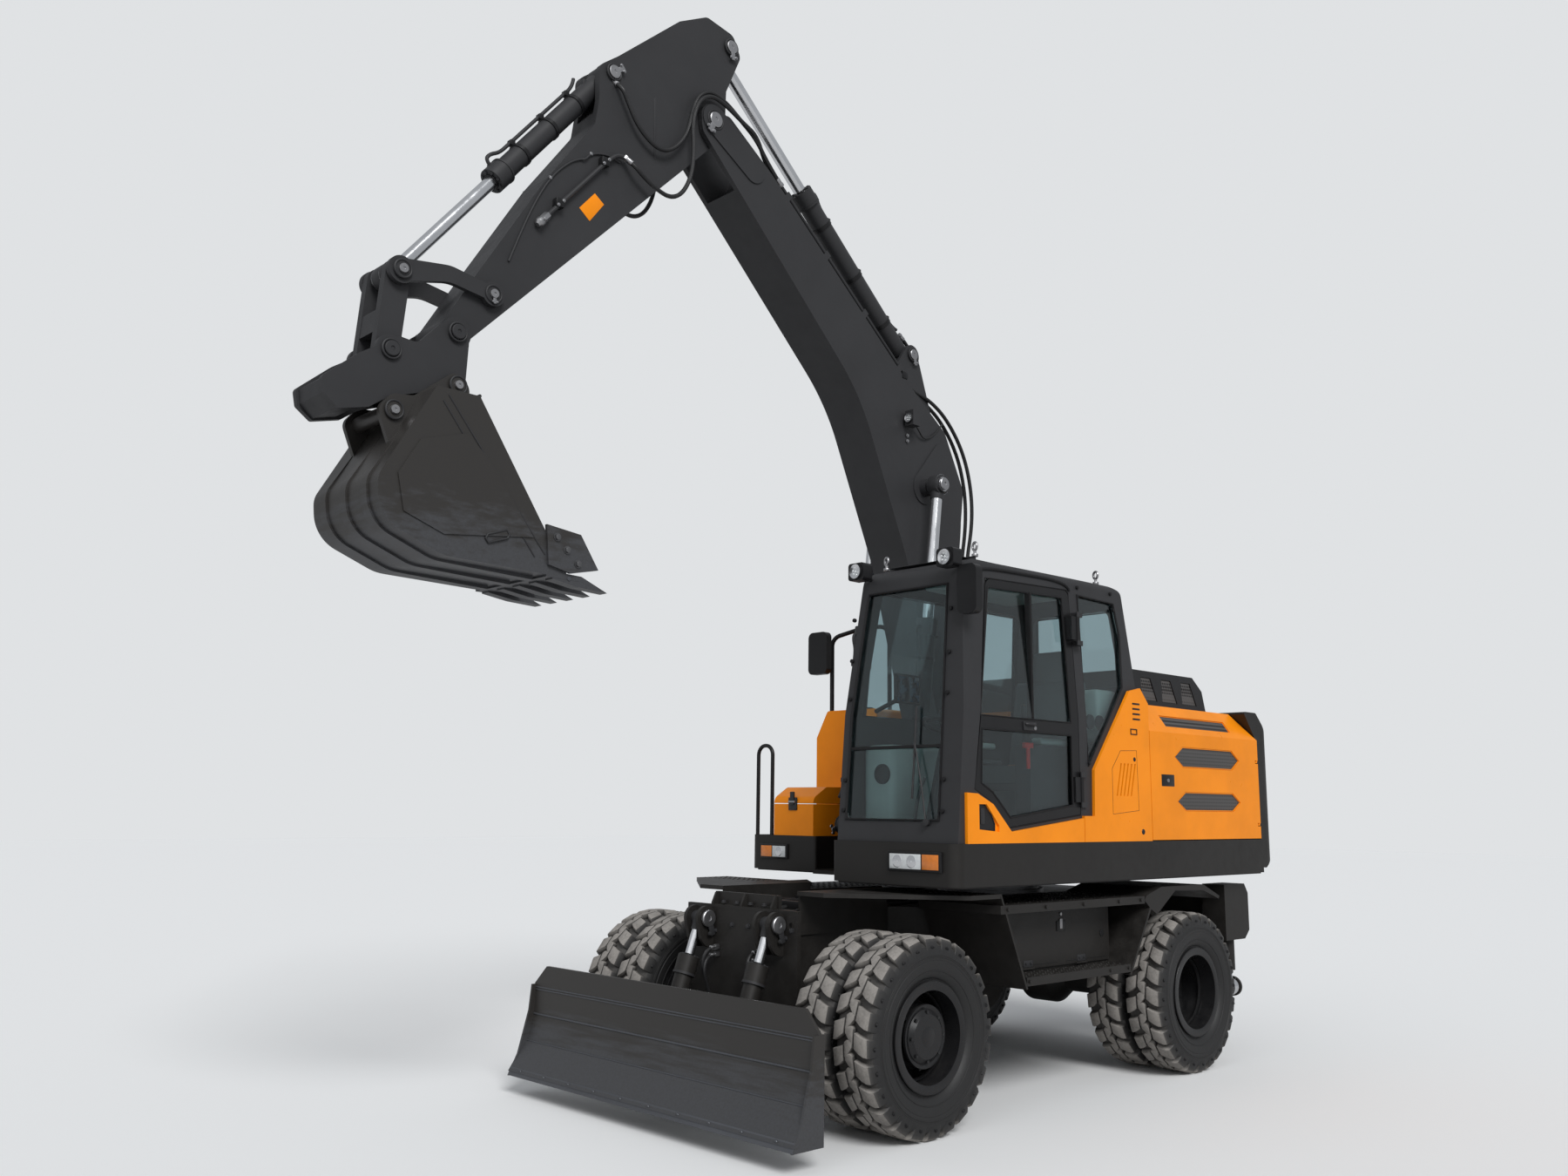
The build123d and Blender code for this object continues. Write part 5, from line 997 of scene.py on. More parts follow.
class EXCAVATOR_OT_chassis_details(bpy.types.Operator):
    """Build the treads, step treads, box locks, hoses and bolts of the chassis"""

    bl_idname = "excavator.chassis_details"
    bl_label = "Chassis details"

    def execute(self, context):
        piece = Piece("deck_treads")
        for hand in (-1, 1):
            for (inner, outer), y_range, z, pitch in TREADS:
                dots(piece, sorted((hand * inner, hand * outer)), y_range, z, pitch)
        for hand in (-1, 1):
            for radius, z, places in ((10, 1160, (-1080, -700, -300, 100, 360)), (9, 741, (-880, -20, 190))):
                for y in places:
                    piece.bolt("chassis", (hand * 1200, y, z), (hand, 0, 0), radius)
        for x in (-250, -85, 85, 250):
            piece.pipe("hose", ((x, -1900, 1120), (x * 1.05, -1700, 1168), (x * 1.2, -1400, 1150),
                                (x * 1.3, -1150, 1140), (x * 1.2, -700, 1150)), 13)
        for y in (-1780, -1350):
            piece.box("black", 4, (-275, y - 18, 1130), (275, y + 18, 1178))
        ring_bolts = bmesh.new()
        bmesh.ops.create_cone(ring_bolts, cap_ends=True, segments=6, radius1=0.011, radius2=0.011, depth=0.016)
        bmesh.ops.translate(ring_bolts, vec=at(505, 0, 1286), verts=ring_bolts.verts)
        around(ring_bolts, at(0, 0, 1286), (0, 0, 1), 36)
        piece.take(ring_bolts, "charcoal", False)
        piece.close("chassis")

        door = Piece("box_door_locks")
        for y in (-790, 160):
            door.turned("black", LOCK, (1024, y, 950), (1, 0, 0), 32)
        door.boxes(BOX_DOOR_BOXES)
        door.turned("zinc", ((0, 11), (6, 10), (6.5, 0)), (1024, -298, 1090), (1, 0, 0), 24)
        for y in (-650, -80):
            door.box("charcoal", 2, (1022, y - 45, 790), (1027, y + 45, 830))
            for shift in (-25, 25):
                door.bolt("charcoal", (1027, y + shift, 812), (1, 0, 0), 6)
        door.boxes(BOX_DOOR_SEAMS)
        door.close("box_door")

        cover = Piece("right_box_cover")
        cover.box("chassis", 3, (-1024, -874, 780), (-1010.5, 239, 1124))
        for y in (-790, 160):
            cover.turned("black", LOCK, (-1024, y, 950), (-1, 0, 0), 32)
        cover.box("black", 3, (-1030, -345, 985), (-1022, -250, 1050))
        cover.close("chassis")

        for side, hand in SIDES:
            beam = Piece(f"stabiliser_pins_{side}")
            for way in (-1, 1):
                beam.turned("zinc", ((-3, 0), (-3, 40), (8, 39), (10, 0)), (hand * 1030, 1800 + way * 67, 480),
                            Vector((0, way, 0)), 32)
            for y in (1720, 1880):
                for x in (820, 905):
                    beam.bolt("charcoal", (hand * x, y, 400), (0, 0, 1), 12)
            beam.close(f"stabiliser_beam_{side}")
        return {"FINISHED"}


# ---------------------------------------------------------------------------- upper body

BODY_X = 1245.0
LAMP_Y = -1618.0
DOOR_MESHES = ((779, 1694, 2035, 2177), (798, 1690, 1738, 1869))  # y range, z range
SLOPE_MESH = ((742, 2318), (1631, 2318), (1631, 2386), (742, 2386))
SLOPE = 194.0 / 135.0
DOOR_SEAM = ((472, 1552), (1975, 1552), (1975, 2262), (472, 2262))
HOOD_MESH = ((2, 2522), (208, 2522), (168, 2688), (42, 2688))
FLANK_WINDOW = ((-1394, 1618), (-1394, 1776), (-1310, 1782), (-1236, 1650), (-1236, 1612))
PANEL_SEAM = ((101, 2121), (295, 2129), (305, 1738), (-6, 1713), (-2, 2003))
PANEL_GRIP = ((232, 2235), (304, 2235), (304, 2268), (232, 2268))
FUEL_CAP = ((0, 0), (36, 0), (36, 40), (30, 46), (0, 46))
FUEL_COLLAR = ((0, 46), (8, 46), (8, 60), (0, 60))
LEFT_LAMP = (
    # finish, edge, low corner, high corner
    ("seal", 4, (750, LAMP_Y - 0.8, 1379), (1142, LAMP_Y + 4, 1490)),
    ("lens", 1.5, (764, LAMP_Y - 1.5, 1392), (1000, LAMP_Y + 2, 1477)),
    ("amber", 1.5, (1008, LAMP_Y - 1.5, 1392), (1130, LAMP_Y + 2, 1477)),
)
RIGHT_LAMP = (
    ("amber", 1.5, (-1120, -889.5, 1389), (-1010, -886, 1465)),
    ("lens", 1.5, (-1002, -889.5, 1389), (-870, -886, 1465)),
)
TOOLBOX_LATCH = (
    ("plastic", 5, (-862, -870, 1716), (-778, -858, 1806)),
    ("plastic", 6, (-840, -878, 1752), (-800, -862, 1846)),
)
MIRROR_FACES = (
    ("chrome", 1, (1204, -1441, 2866), (1316, -1438.5, 3124)),
    ("chrome", 1, (-1316, -161, 2776), (-1144, -158.5, 3074)),
)


def side_outline(x, outline):
    """Points of a side outline at a distance across."""
    return [(x, y, z) for y, z in outline]


def lock_disc(height, radius, foot):
    """Profile of a small round lock."""
    return ((0, 0), (height, 0), (height, radius), (0, foot))


def lamp_face(piece, centre, way, radius):
    """Round lamp: chromed bowl, bulb cluster and clear lens in a black rim."""
    centre, way = Vector(centre), Vector(way).normalized()
    rim = ((0, radius * 1.12), (12, radius * 1.10), (14, radius), (4, radius * 0.98))
    piece.turned("black", rim, centre, way, 40, True)
    piece.turned("chrome", ((1, 0), (2, radius * 0.3), (6, radius * 0.7), (10, radius)), centre, way, 40)
    for ring, count in ((0.0, 1), (0.5, 6)):
        for bulb in spots_round(way, count):
            spot = centre + bulb * radius * ring
            piece.bar("lens", spot + way * 2, spot + way * 7, radius * 0.2, radius * 0.12, 16)


class EXCAVATOR_OT_body_details(bpy.types.Operator):
    """Build the grilles, latches, lamps and caps of the upper body"""

    bl_idname = "excavator.body_details"
    bl_label = "Body details"

    def execute(self, context):
        for side, hand in SIDES:
            door = Piece(f"door_grilles_{side}")
            for y_low, y_high, z_low, z_high in DOOR_MESHES:
                middle = (z_low + z_high) / 2
                hexagon = ((y_low + 116, z_low + 5), (y_high - 116, z_low + 5), (y_high - 9, middle),
                           (y_high - 116, z_high - 5), (y_low + 116, z_high - 5), (y_low + 9, middle))
                door.sheet("mesh", hexagon, hand * 1236.6, hand * 1239, 0.5)
                door.bead("orange", side_outline(hand * 1241, hexagon), 3.5)
            corners = [at(hand * (BODY_X - (z - 2268) / SLOPE - 6.5), y, z - 4.5) for y, z in SLOPE_MESH]
            door.take(plate(corners[::hand], 0.0015), "mesh")
            inner, outer = sorted((hand * 1240, hand * 1247))
            door.box("black", 4, (inner, 600, 1902), (outer, 766, 1983))
            door.turned("zinc", lock_disc(4, 12, 13), (hand * 1247, 683, 1942), (hand, 0, 0), 28)
            door.bead("black", side_outline(hand * 1243.5, DOOR_SEAM), 1.5)
            door.close(f"side_door_{side}", "orange_paint")

        hood = Piece("hood_mesh")
        for y in (900, 1180, 1460):
            for hand, foot, top in ((1, 950, 900), (-1, -560, -510)):
                lean = (top - foot) / 290.0
                corners = [at(foot + lean * (z - 2450) - hand * 9, y + dy, z) for dy, z in HOOD_MESH]
                hood.take(plate(corners[::hand], 0.002), "mesh")
        for x in (-430, -180, 70, 320, 570, 820):
            hood.box("black", 2, (x - 16, 860, 2739), (x + 16, 1640, 2744.5))
        hood.box("plastic", 4, (150, 1765, 2500), (240, 1793, 2560))
        hood.close("engine_hood", "black_paint")

        body = Piece("body_fittings")
        body.boxes(LEFT_LAMP)
        for x in (824, 930):
            body.turned("chrome", ((0, 0), (3, 30), (1, 36), (-1, 36)), (x, LAMP_Y - 1, 1434), (0, -1, 0), 32)
        body.boxes(RIGHT_LAMP)
        body.turned("chrome", ((0, 0), (3, 28), (1, 33), (-1, 33)), (-936, -889, 1427), (0, -1, 0), 32)
        for hand in (-1, 1):
            low, high = sorted((hand * 930, hand * 1150))
            body.box("tail", 3, (low, 2283, 1590), (high, 2291, 1650))
            low, high = sorted((hand * 930, hand * 990))
            body.box("amber", 2, (low, 2285, 1592), (high, 2291.8, 1648))
        body.sheet("black", FLANK_WINDOW, 1231, 1232.5)
        body.bead("seal", side_outline(1232.5, FLANK_WINDOW), 5)
        body.box("plastic", 4, (1229, -1366, 1650), (1238, -1330, 1740))
        # Black sheets set behind the five slanted slots: painted shade in the slot gaps.
        for step in range(5):
            slot = [(y + step * 42.0, z) for y, z in ((40, 1830), (54, 1830), (114, 2040), (100, 2040))]
            body.sheet("black", slot, BODY_X - 11.5, BODY_X - 10)
        body.bead("black", side_outline(BODY_X, PANEL_SEAM), 1.6)
        body.turned("black", lock_disc(4, 16, 19), (1244.5, 348, 1600), (1, 0, 0), 32)
        body.turned("black", lock_disc(3, 13, 15), (1244.5, 268, 2070), (1, 0, 0), 32)
        # Black bars on the side panel: painted shade in the openings of the raised orange vents.
        for z in (2330, 2364, 2398, 2432):
            body.box("black", 2, (1243, 262, z), (1247.5, 352, z + 12))
        body.bead("black", side_outline(1246, PANEL_GRIP), 5)
        body.turned("black", FUEL_CAP, (-950, 60, 2470), (0, 0, 1), 40)
        body.turned("zinc", FUEL_COLLAR, (-950, 60, 2470), (0, 0, 1), 40, True)
        for x in (-880, -760):
            body.bolt("charcoal", (x, -150, 2470), (0, 0, 1), 12)
        for x in (-700, 700):
            for y, z in ((1900, 2477), (2120, 2376)):
                body.hoop("charcoal", (x, y, z + 26), 32, 9, 28)
        for x in (1180, -1180):
            for y in (560, 1700):
                body.bolt("charcoal", (x, y, 1542), (0, 0, 1), 10)
        body.close("turret")

        lid = Piece("toolbox_latch")
        lid.boxes(TOOLBOX_LATCH)
        lid.bar("zinc", (-852, -874, 1776), (-788, -874, 1776), 8, sides=16)
        lid.close("toolbox_lid", "plastic")

        mirrors = Piece("mirror_faces")
        mirrors.boxes(MIRROR_FACES)
        mirrors.close("turret", "black_paint")
        return {"FINISHED"}


# ---------------------------------------------------------------------------- cab

SIDE_X = 1224.7
FRONT_GLASS = ((352, 1668), (1078, 1668), (1068, 3052), (440, 3052), (352, 2300))
QUARTER_GLASS = ((-246, 2014), (-246, 3114), (176, 3104), (219, 2898), (199, 2542))
RIGHT_GLASS = ((-1374, 2306), (-1286, 3084), (146, 3084), (214, 2306))
REAR_GLASS = ((426, 2566), (474, 3074), (1076, 3074), (1114, 2566))
RIGHT_LEAN = 104.3 / 935.0
DOOR_OPENING = ((-1403, 1848), (-1266, 1787), (-1091, 1627), (-342, 1706), (-342, 3134), (-1214, 3104))
DOOR_LIGHTS = (
    ((-1340, 2275), (-1191, 3050), (-424, 3074), (-424, 2275)),
    ((-1326, 2195), (-1340, 1884), (-1238, 1835), (-1068, 1686), (-424, 1765), (-424, 2195)),
)
RAIN_GUTTER = ((-335, 3130, 2), (-338, 3186, 4), (-900, 3178, 6), (-1290, 3160, 4), (-1330, 3120, 2))
WIPER_ARM = ((1000, 1655, 26), (985, 1750, 24), (905, 2040, 16), (880, 2110, 14))
WIPER_BLADE = ((880, 1790, 13), (884, 2000, 12), (880, 2330, 12))
DOOR_HANDLE = ((1236, -915, 2244), (1250, -905, 2242), (1250, -840, 2242), (1236, -822, 2242))
LEVER_KNOB = ((0, 0), (12, 20), (50, 24), (100, 21), (125, 12), (130, 0))
HEATER_OUTLET = ((0, 62), (10, 60), (12, 48), (2, 44), (2, 0))
SEAT_WELT = ((525, -100, 2020), (600, -300, 2018), (780, -420, 2016), (950, -300, 2018), (1035, -100, 2020))
CAB_TRIM = (
    # finish, edge, low corner, high corner, segments
    ("trim", 50, (930, -1380, 1592), (1100, -1180, 1760), 4),
    ("trim", 50, (380, -560, 1592), (1150, 280, 1900), 4),
)
CAB_LINING = (
    ("trim", 30, (430, 60, 2180), (1110, 300, 2530), 3),
    ("trim", 20, (520, -1000, 3120), (1040, -100, 3160), 3),
)
MONITOR = (
    ("plastic", 8, (430, -1200, 2390), (452, -960, 2580), 3),
    ("screen", 1, (452, -1185, 2405), (454, -975, 2565)),
)


def cab_side(y, z, out=0.0):
    """Point on the cab's left wall, which leans in above its waist."""
    return (SIDE_X - max(0.0, (z - 2300.0) / 935.0) * 59.7 + out, y, z)


def cab_front(x, z, out=0.0):
    """Point on the cab's leaning front."""
    return (x, -1545.0 + 120.0 * (z - 1700.0) / 1460.0 - out, z)


class EXCAVATOR_OT_cab_details(bpy.types.Operator):
    """Build the cab's seals, wiper, handles, roof and inner fittings"""

    bl_idname = "excavator.cab_details"
    bl_label = "Cab details"

    def execute(self, context):
        cab = Piece("cab_seals")
        cab.bead("seal", [cab_front(x, z, 2) for x, z in FRONT_GLASS], 9)
        cab.box("seal", 3, cab_front(350, 2083, 4), cab_front(1080, 2103, -6))
        cab.bead("seal", [cab_side(y, z, 1) for y, z in QUARTER_GLASS], 8)
        cab.bead("seal", [(289 + (z - 2300) * RIGHT_LEAN, y, z) for y, z in RIGHT_GLASS], 8)
        cab.bead("seal", [(x, 368 - (z - 2547) * 81 / 653, z) for x, z in REAR_GLASS], 8)
        cab.bead("seal", [cab_side(y, z) for y, z in DOOR_OPENING], 3.5)
        cab.box("charcoal", 3, (480, -1300, 3230), (1080, -420, 3234.6))
        cab.pipe("seal", [cab_side(*point) for point in RAIN_GUTTER], 10)
        cab.bar("plastic", cab_front(1000, 1655, 8), cab_front(1000, 1655, 30), 22, edge=3)
        cab.pipe("plastic", [cab_front(*point) for point in WIPER_ARM], 6)
        cab.pipe("plastic", [cab_front(*point) for point in WIPER_BLADE], 7)
        for x in (440, 1150):
            lamp_face(cab, (x, -1560, 3186), (0, -1, 0), 46)
        for x, y in ((1130, -1250), (1110, 80), (420, -1250), (420, 80)):
            cab.bar("zinc", (x, y, 3232), (x, y, 3250), 20, edge=3)
            cab.bar("zinc", (x, y, 3245), (x, y, 3272), 9, sides=16)
            cab.hoop("zinc", (x, y, 3296), 24, 8, 28, (0.4, 1, 0))
        for z in (1720, 1900, 2400, 2640, 2900):
            for x in (330, 1104):
                cab.bar("seal", cab_front(x, z, -2), cab_front(x, z, 16), 13, sides=18, edge=3)
        for y, z in ((-240, 3165), (-240, 2030), (150, 3170), (170, 3060)):
            cab.bar("seal", cab_side(y, z, -2), cab_side(y, z, 14), 12, sides=18, edge=3)
        cab.close("turret", "black_paint")

        door = Piece("cab_door_fittings")
        for outline in DOOR_LIGHTS:
            door.bead("seal", [cab_side(y, z, -2) for y, z in outline], 7)
        door.box("seal", 2, cab_side(-815, 2275, -12), cab_side(-797, 3058, -6))
        door.box("plastic", 4, (1223, -930, 2205), (1233, -800, 2258))
        door.pipe("plastic", DOOR_HANDLE, 8)
        door.turned("zinc", lock_disc(3, 10, 12), (1233, -815, 2222), (1, 0, 0), 24)
        door.close("cab_door")

        inside = Piece("cab_inside")
        inside.box("mat", 2, (345, -1500, 1586), (1170, -600, 1591))
        for x in (456, 1104):
            inside.box("trim", 18, (x - 45, -640, 2131), (x + 45, -240, 2175), 3)
            inside.bar("plastic", (x, -720, 2128), (x, -740, 2260), 30, 14)
            inside.turned("plastic", LEVER_KNOB, (x, -738, 2250), (0, -0.16, 1), 28)
            for shift in (-8, 8):
                inside.bar("amber", (x + shift, -758, 2362), (x + shift, -764, 2370), 4, sides=12)
        inside.boxes(MONITOR)
        inside.pipe("plastic", ((400, -1330, 2330), (410, -1230, 2380), (436, -1120, 2430)), 14)
        for x in (690, 870):
            inside.box("plastic", 4, (x - 60, -1330, 1640), (x + 60, -1170, 1650))
            inside.bar("plastic", (x, -1330, 1600), (x, -1300, 1645), 12, sides=16)
            inside.pipe("plastic", ((x, -1300, 1650), (x, -1290, 1800), (x + 20, -1230, 1920)), 10)
        inside.bar("red", (1150, -785, 1980), (1150, -785, 2120), 13, sides=16, edge=4)
        inside.box("red", 6, (1138, -830, 2104), (1162, -740, 2140))
        inside.box("trim", 50, (350, -1400, 1592), (600, -900, 2120), 4)
        inside.turned("plastic", HEATER_OUTLET, (520, -1402, 1940), (0, -1, 0), 36)
        inside.boxes(CAB_TRIM)
        for y in (-100, 10):
            inside.turned("plastic", ((0, 50), (10, 48), (10, 36), (0, 0)), (1146, y, 2300), (1, 0, 0), 32)
        inside.boxes(CAB_LINING)
        inside.close("turret", "plastic")

        seat = Piece("seat_trim")
        for x_low, x_high in ((486, 520), (1040, 1074)):
            seat.box("seat_cloth", 12, (x_low, -600, 2030), (x_high, -200, 2062), 3)
            middle = (x_low + x_high) / 2
            seat.pipe("plastic", ((middle, -210, 1995), (middle, -190, 2020), (middle, -260, 2040)), 11)
        seat.pipe("orange", SEAT_WELT, 6)
        for z in (2120, 2260, 2400, 2520):
            y = -170 + (z - 1960) * 230 / 640.0
            seat.pipe("plastic", ((560, y - 1, z), (780, y - 3, z + 4), (1000, y - 1, z)), 4)
        seat.close("turret", "seat")
        return {"FINISHED"}


# ---------------------------------------------------------------------------- working gear

BOOM_X = -100.0
RAM_X = 290.0
BOOM_RAM = ((-750, 1620), (-453, 3982))
ARM_RAM = ((-503, 4975), (-2315, 6592))
BUCKET_RAM = ((-3230, 6030), (-4509, 4393))
PINS = (
    # piece, body, distance from the middle, centre, radius, keeper's way, finish
    ("boom_foot_pins", "turret", 223, (-40, 1880), 50, (0.3, 1), "zinc"),
    ("boom_foot_pins", "turret", 350, (-750, 1620), 50, (-1, -0.4), "zinc"),
    ("boom_rod_pins", "boom_rods", 346, (-453, 3982), 46, None, "zinc"),
    ("boom_pins", "boom", 116, (-503, 4975), 38, (0.3, -1), "zinc"),
    ("boom_pins", "boom", 173, (-2467, 6011), 50, (-0.55, -1), "zinc"),
    ("arm_pins", "arm", 139, (-2315, 6592), 42, (0.15, -1), "zinc"),
    ("arm_pins", "arm", 137, (-3230, 6030), 40, (0.9, 0.7), "zinc"),
    ("arm_pins", "arm", 166, (-3980, 4413), 26, (0.1, -1), "zinc"),
    ("arm_pins", "arm", 180, (-4185, 4142), 40, None, "charcoal"),
    ("rocker_pins", "rocker", 175, (-4509, 4393), 26, None, "zinc"),
    ("bucket_pins", "bucket", 177, (-4544, 3960), 40, None, "charcoal"),
    ("bucket_pins", "bucket", 211, (-4185, 3848), 24, None, "zinc"),
    ("bucket_pins", "bucket", 211, (-4526, 3642), 24, None, "zinc"),
)
LEAST_BOSS = 46
RODS = (
    # body, x, foot and pin, start, rod radius, eye radius, eye width
    ("boom_rods", BOOM_X - RAM_X, BOOM_RAM, 985, 38, 72, 84),
    ("boom_rods", BOOM_X + RAM_X, BOOM_RAM, 985, 38, 72, 84),
    ("arm_rod", BOOM_X, ARM_RAM, 1005, 42, 72, 84),
    ("bucket_rod", BOOM_X, BUCKET_RAM, 805, 36, 66, 84),
    ("blade_rods", BLADE_CYL_X[0], (BLADE_FOOT, BLADE_HEAD), 325, 28, 42, 72),
    ("blade_rods", BLADE_CYL_X[1], (BLADE_FOOT, BLADE_HEAD), 325, 28, 42, 72),
)
PORT = Vector((22, 22, 22))  # half sizes of a barrel's port block
CLAMP = Vector((20, 16, 16))
RAMS = (
    # body, x, foot and pin, length, radius, side of the pipe
    ("boom_barrels", BOOM_X - RAM_X, BOOM_RAM, 1400, 62, -1),
    ("boom_barrels", BOOM_X + RAM_X, BOOM_RAM, 1400, 62, -1),
    ("arm_barrel", BOOM_X, ARM_RAM, 1400, 68, 1),
    ("bucket_barrel", BOOM_X, BUCKET_RAM, 1140, 62, 1),
)


class EXCAVATOR_OT_pins(bpy.types.Operator):
    """Build the pin heads with their keepers on every link of the working gear"""

    bl_idname = "excavator.pins"
    bl_label = "Pins"

    def execute(self, context):
        pieces = {}
        for name, body, half, centre, radius, way, coat in PINS:
            piece = pieces.setdefault(name, (Piece(name), body))[0]
            for hand in (-1, 1):
                x = BOOM_X + hand * half
                pin_head(piece, x, centre, radius, hand, way, coat, coat)
                piece.hoop("charcoal", (x, *centre), max(radius * 1.22, LEAST_BOSS), 6, 40)
        for piece, body in pieces.values():
            piece.close(body, "steel")
        return {"FINISHED"}


class EXCAVATOR_OT_rods(bpy.types.Operator):
    """Build the polished skins of the rods and their painted eyes"""

    bl_idname = "excavator.rods"
    bl_label = "Rods"

    def execute(self, context):
        pieces = {}
        for body, x, (foot, pin), start, radius, eye, width in RODS:
            piece = pieces.setdefault(body, Piece(f"{body}_skins"))
            tip = Vector((x, *toward(foot, pin, math.dist(foot, pin) - eye * 0.8)))
            piece.bar("chrome", (x, *toward(foot, pin, start)), tip, radius + 0.4, sides=64)
            way = (Vector((x, *pin)) - Vector((x, *foot))).normalized()
            piece.bar("charcoal", tip - way * 45, tip + way * 20, radius + 6, radius + 12, 48)
            half = width / 2 + 0.6
            piece.bar("charcoal", (x - half, *pin), (x + half, *pin), eye + 0.6, sides=56, edge=3)
        for body, piece in pieces.items():
            piece.close(body, "chrome")
        return {"FINISHED"}


class EXCAVATOR_OT_rams(bpy.types.Operator):
    """Build the cylinders' glands, ports and steel pipes"""

    bl_idname = "excavator.rams"
    bl_label = "Cylinders"

    def execute(self, context):
        pieces = {}
        for body, x, (foot, pin), reach, r, hand in RAMS:
            piece = pieces.setdefault(body, Piece(f"{body}_fittings"))
            way = Vector((0, pin[0] - foot[0], pin[1] - foot[1])).normalized()
            back = Vector((0, way.z, -way.y)) * hand

            def along(distance, lift=0.0):
                return Vector((x, *toward(foot, pin, distance))) + back * lift

            collar = ((-112, r * 0.98), (-112, r * 1.24), (-100, r * 1.24), (-100, r * 0.98))
            wiper = ((0, r * 0.6), (0, r * 0.72), (10, r * 0.70), (10, r * 0.6))
            gland(piece, along(reach), way, r * 0.93, 9, collar, wiper, 48)
            for spot in (130, reach - 60):
                piece.box("charcoal", 4, along(spot, r * 0.8) - PORT, along(spot, r * 0.8) + PORT)
            low = r + 22
            pipe = ((reach - 60, r * 0.9), (reach - 60, r + 45), (reach - 110, r + 50), (reach - 170, low),
                    (reach - 260, low), (reach * 0.5, low), (330, low), (220, low), (175, r + 50))
            piece.pipe("charcoal", [along(*point) for point in pipe], 11)
            for spot in (300, reach * 0.5, reach - 280):
                band = ((-12, r), (-12, r + 6), (12, r + 6), (12, r))
                piece.turned("black", band, along(spot), way, 48, True)
                piece.box("black", 4, along(spot, r + 16) - CLAMP, along(spot, r + 16) + CLAMP)
        for body, piece in pieces.items():
            piece.close(body)
        return {"FINISHED"}


HOSE_PITCH = 44
FOOT_HOSE = ((300, 1600), (330, 1800), (300, 2080), (160, 2230), (84, 2270), (64, 2350))
TIP_HOSES = (
    # name, how far out, (y, z) points after the boom's tip, last point
    ("upper", 70, ((-2386, 6170), (-2525, 6190), (-2624, 6100), (-2662, 5953), (-2691, 5831), (-2777, 5705),
                   (-2872, 5645), (-2967, 5663), (-3079, 5742), (-3160, 5880), (-3196, 5935)),
     (8, -3222, 5985)),
    ("lower", 88, ((-2399, 6135), (-2520, 6152), (-2619, 6080), (-2668, 5918), (-2651, 5731), (-2663, 5555),
                   (-2732, 5412), (-2827, 5352), (-2938, 5374), (-3040, 5424), (-3095, 5462)),
     (60, -3140, 5502)),
)
FOOT_LINE = ((-660, 4775), (-520, 4715), (-349, 4668), (-150, 4560), (30, 4350), (118, 4090), (126, 3825),
             (98, 3540), (60, 3200), (84, 2760), (62, 2350))
RAM_HOSE = ((-300, 1560), (-480, 1520), (-640, 1580), (-655, 1690), (-668, 1742))
ARM_RAM_HOSE = ((-560, 4700), (-450, 4790), (-400, 4900), (-440, 5060), (-560, 5125))
ARM_PIPE = ((-3188, 5516), (-3253, 5458), (-3344, 5350), (-3598, 5046), (-3668, 4962))
THIN_PIPE = ((0, -3880, 4640), (0, -3780, 4930), (0, -3647, 5206), (0, -3520, 5350), (0, -3440, 5400),
             (10, -3416, 5400), (0, -3368, 5462), (0, -3237, 5500), (0, -3165, 5478))
VALVE = ((-30, 0), (-30, 16), (-12, 28), (12, 28), (30, 14), (30, 0))
LAMP_CABLE = ((200, -610, 4440), (205, -560, 4390), (180, -470, 4330), (172, -330, 4400), (160, -240, 4500))
BLANK_PLATE = ((-3434, 5104), (-3331, 5228), (-3264, 5181), (-3360, 5047))
GUSSET = ((-2905, 6020), (-2925, 5985), (-2910, 5600), (-2895, 5600))


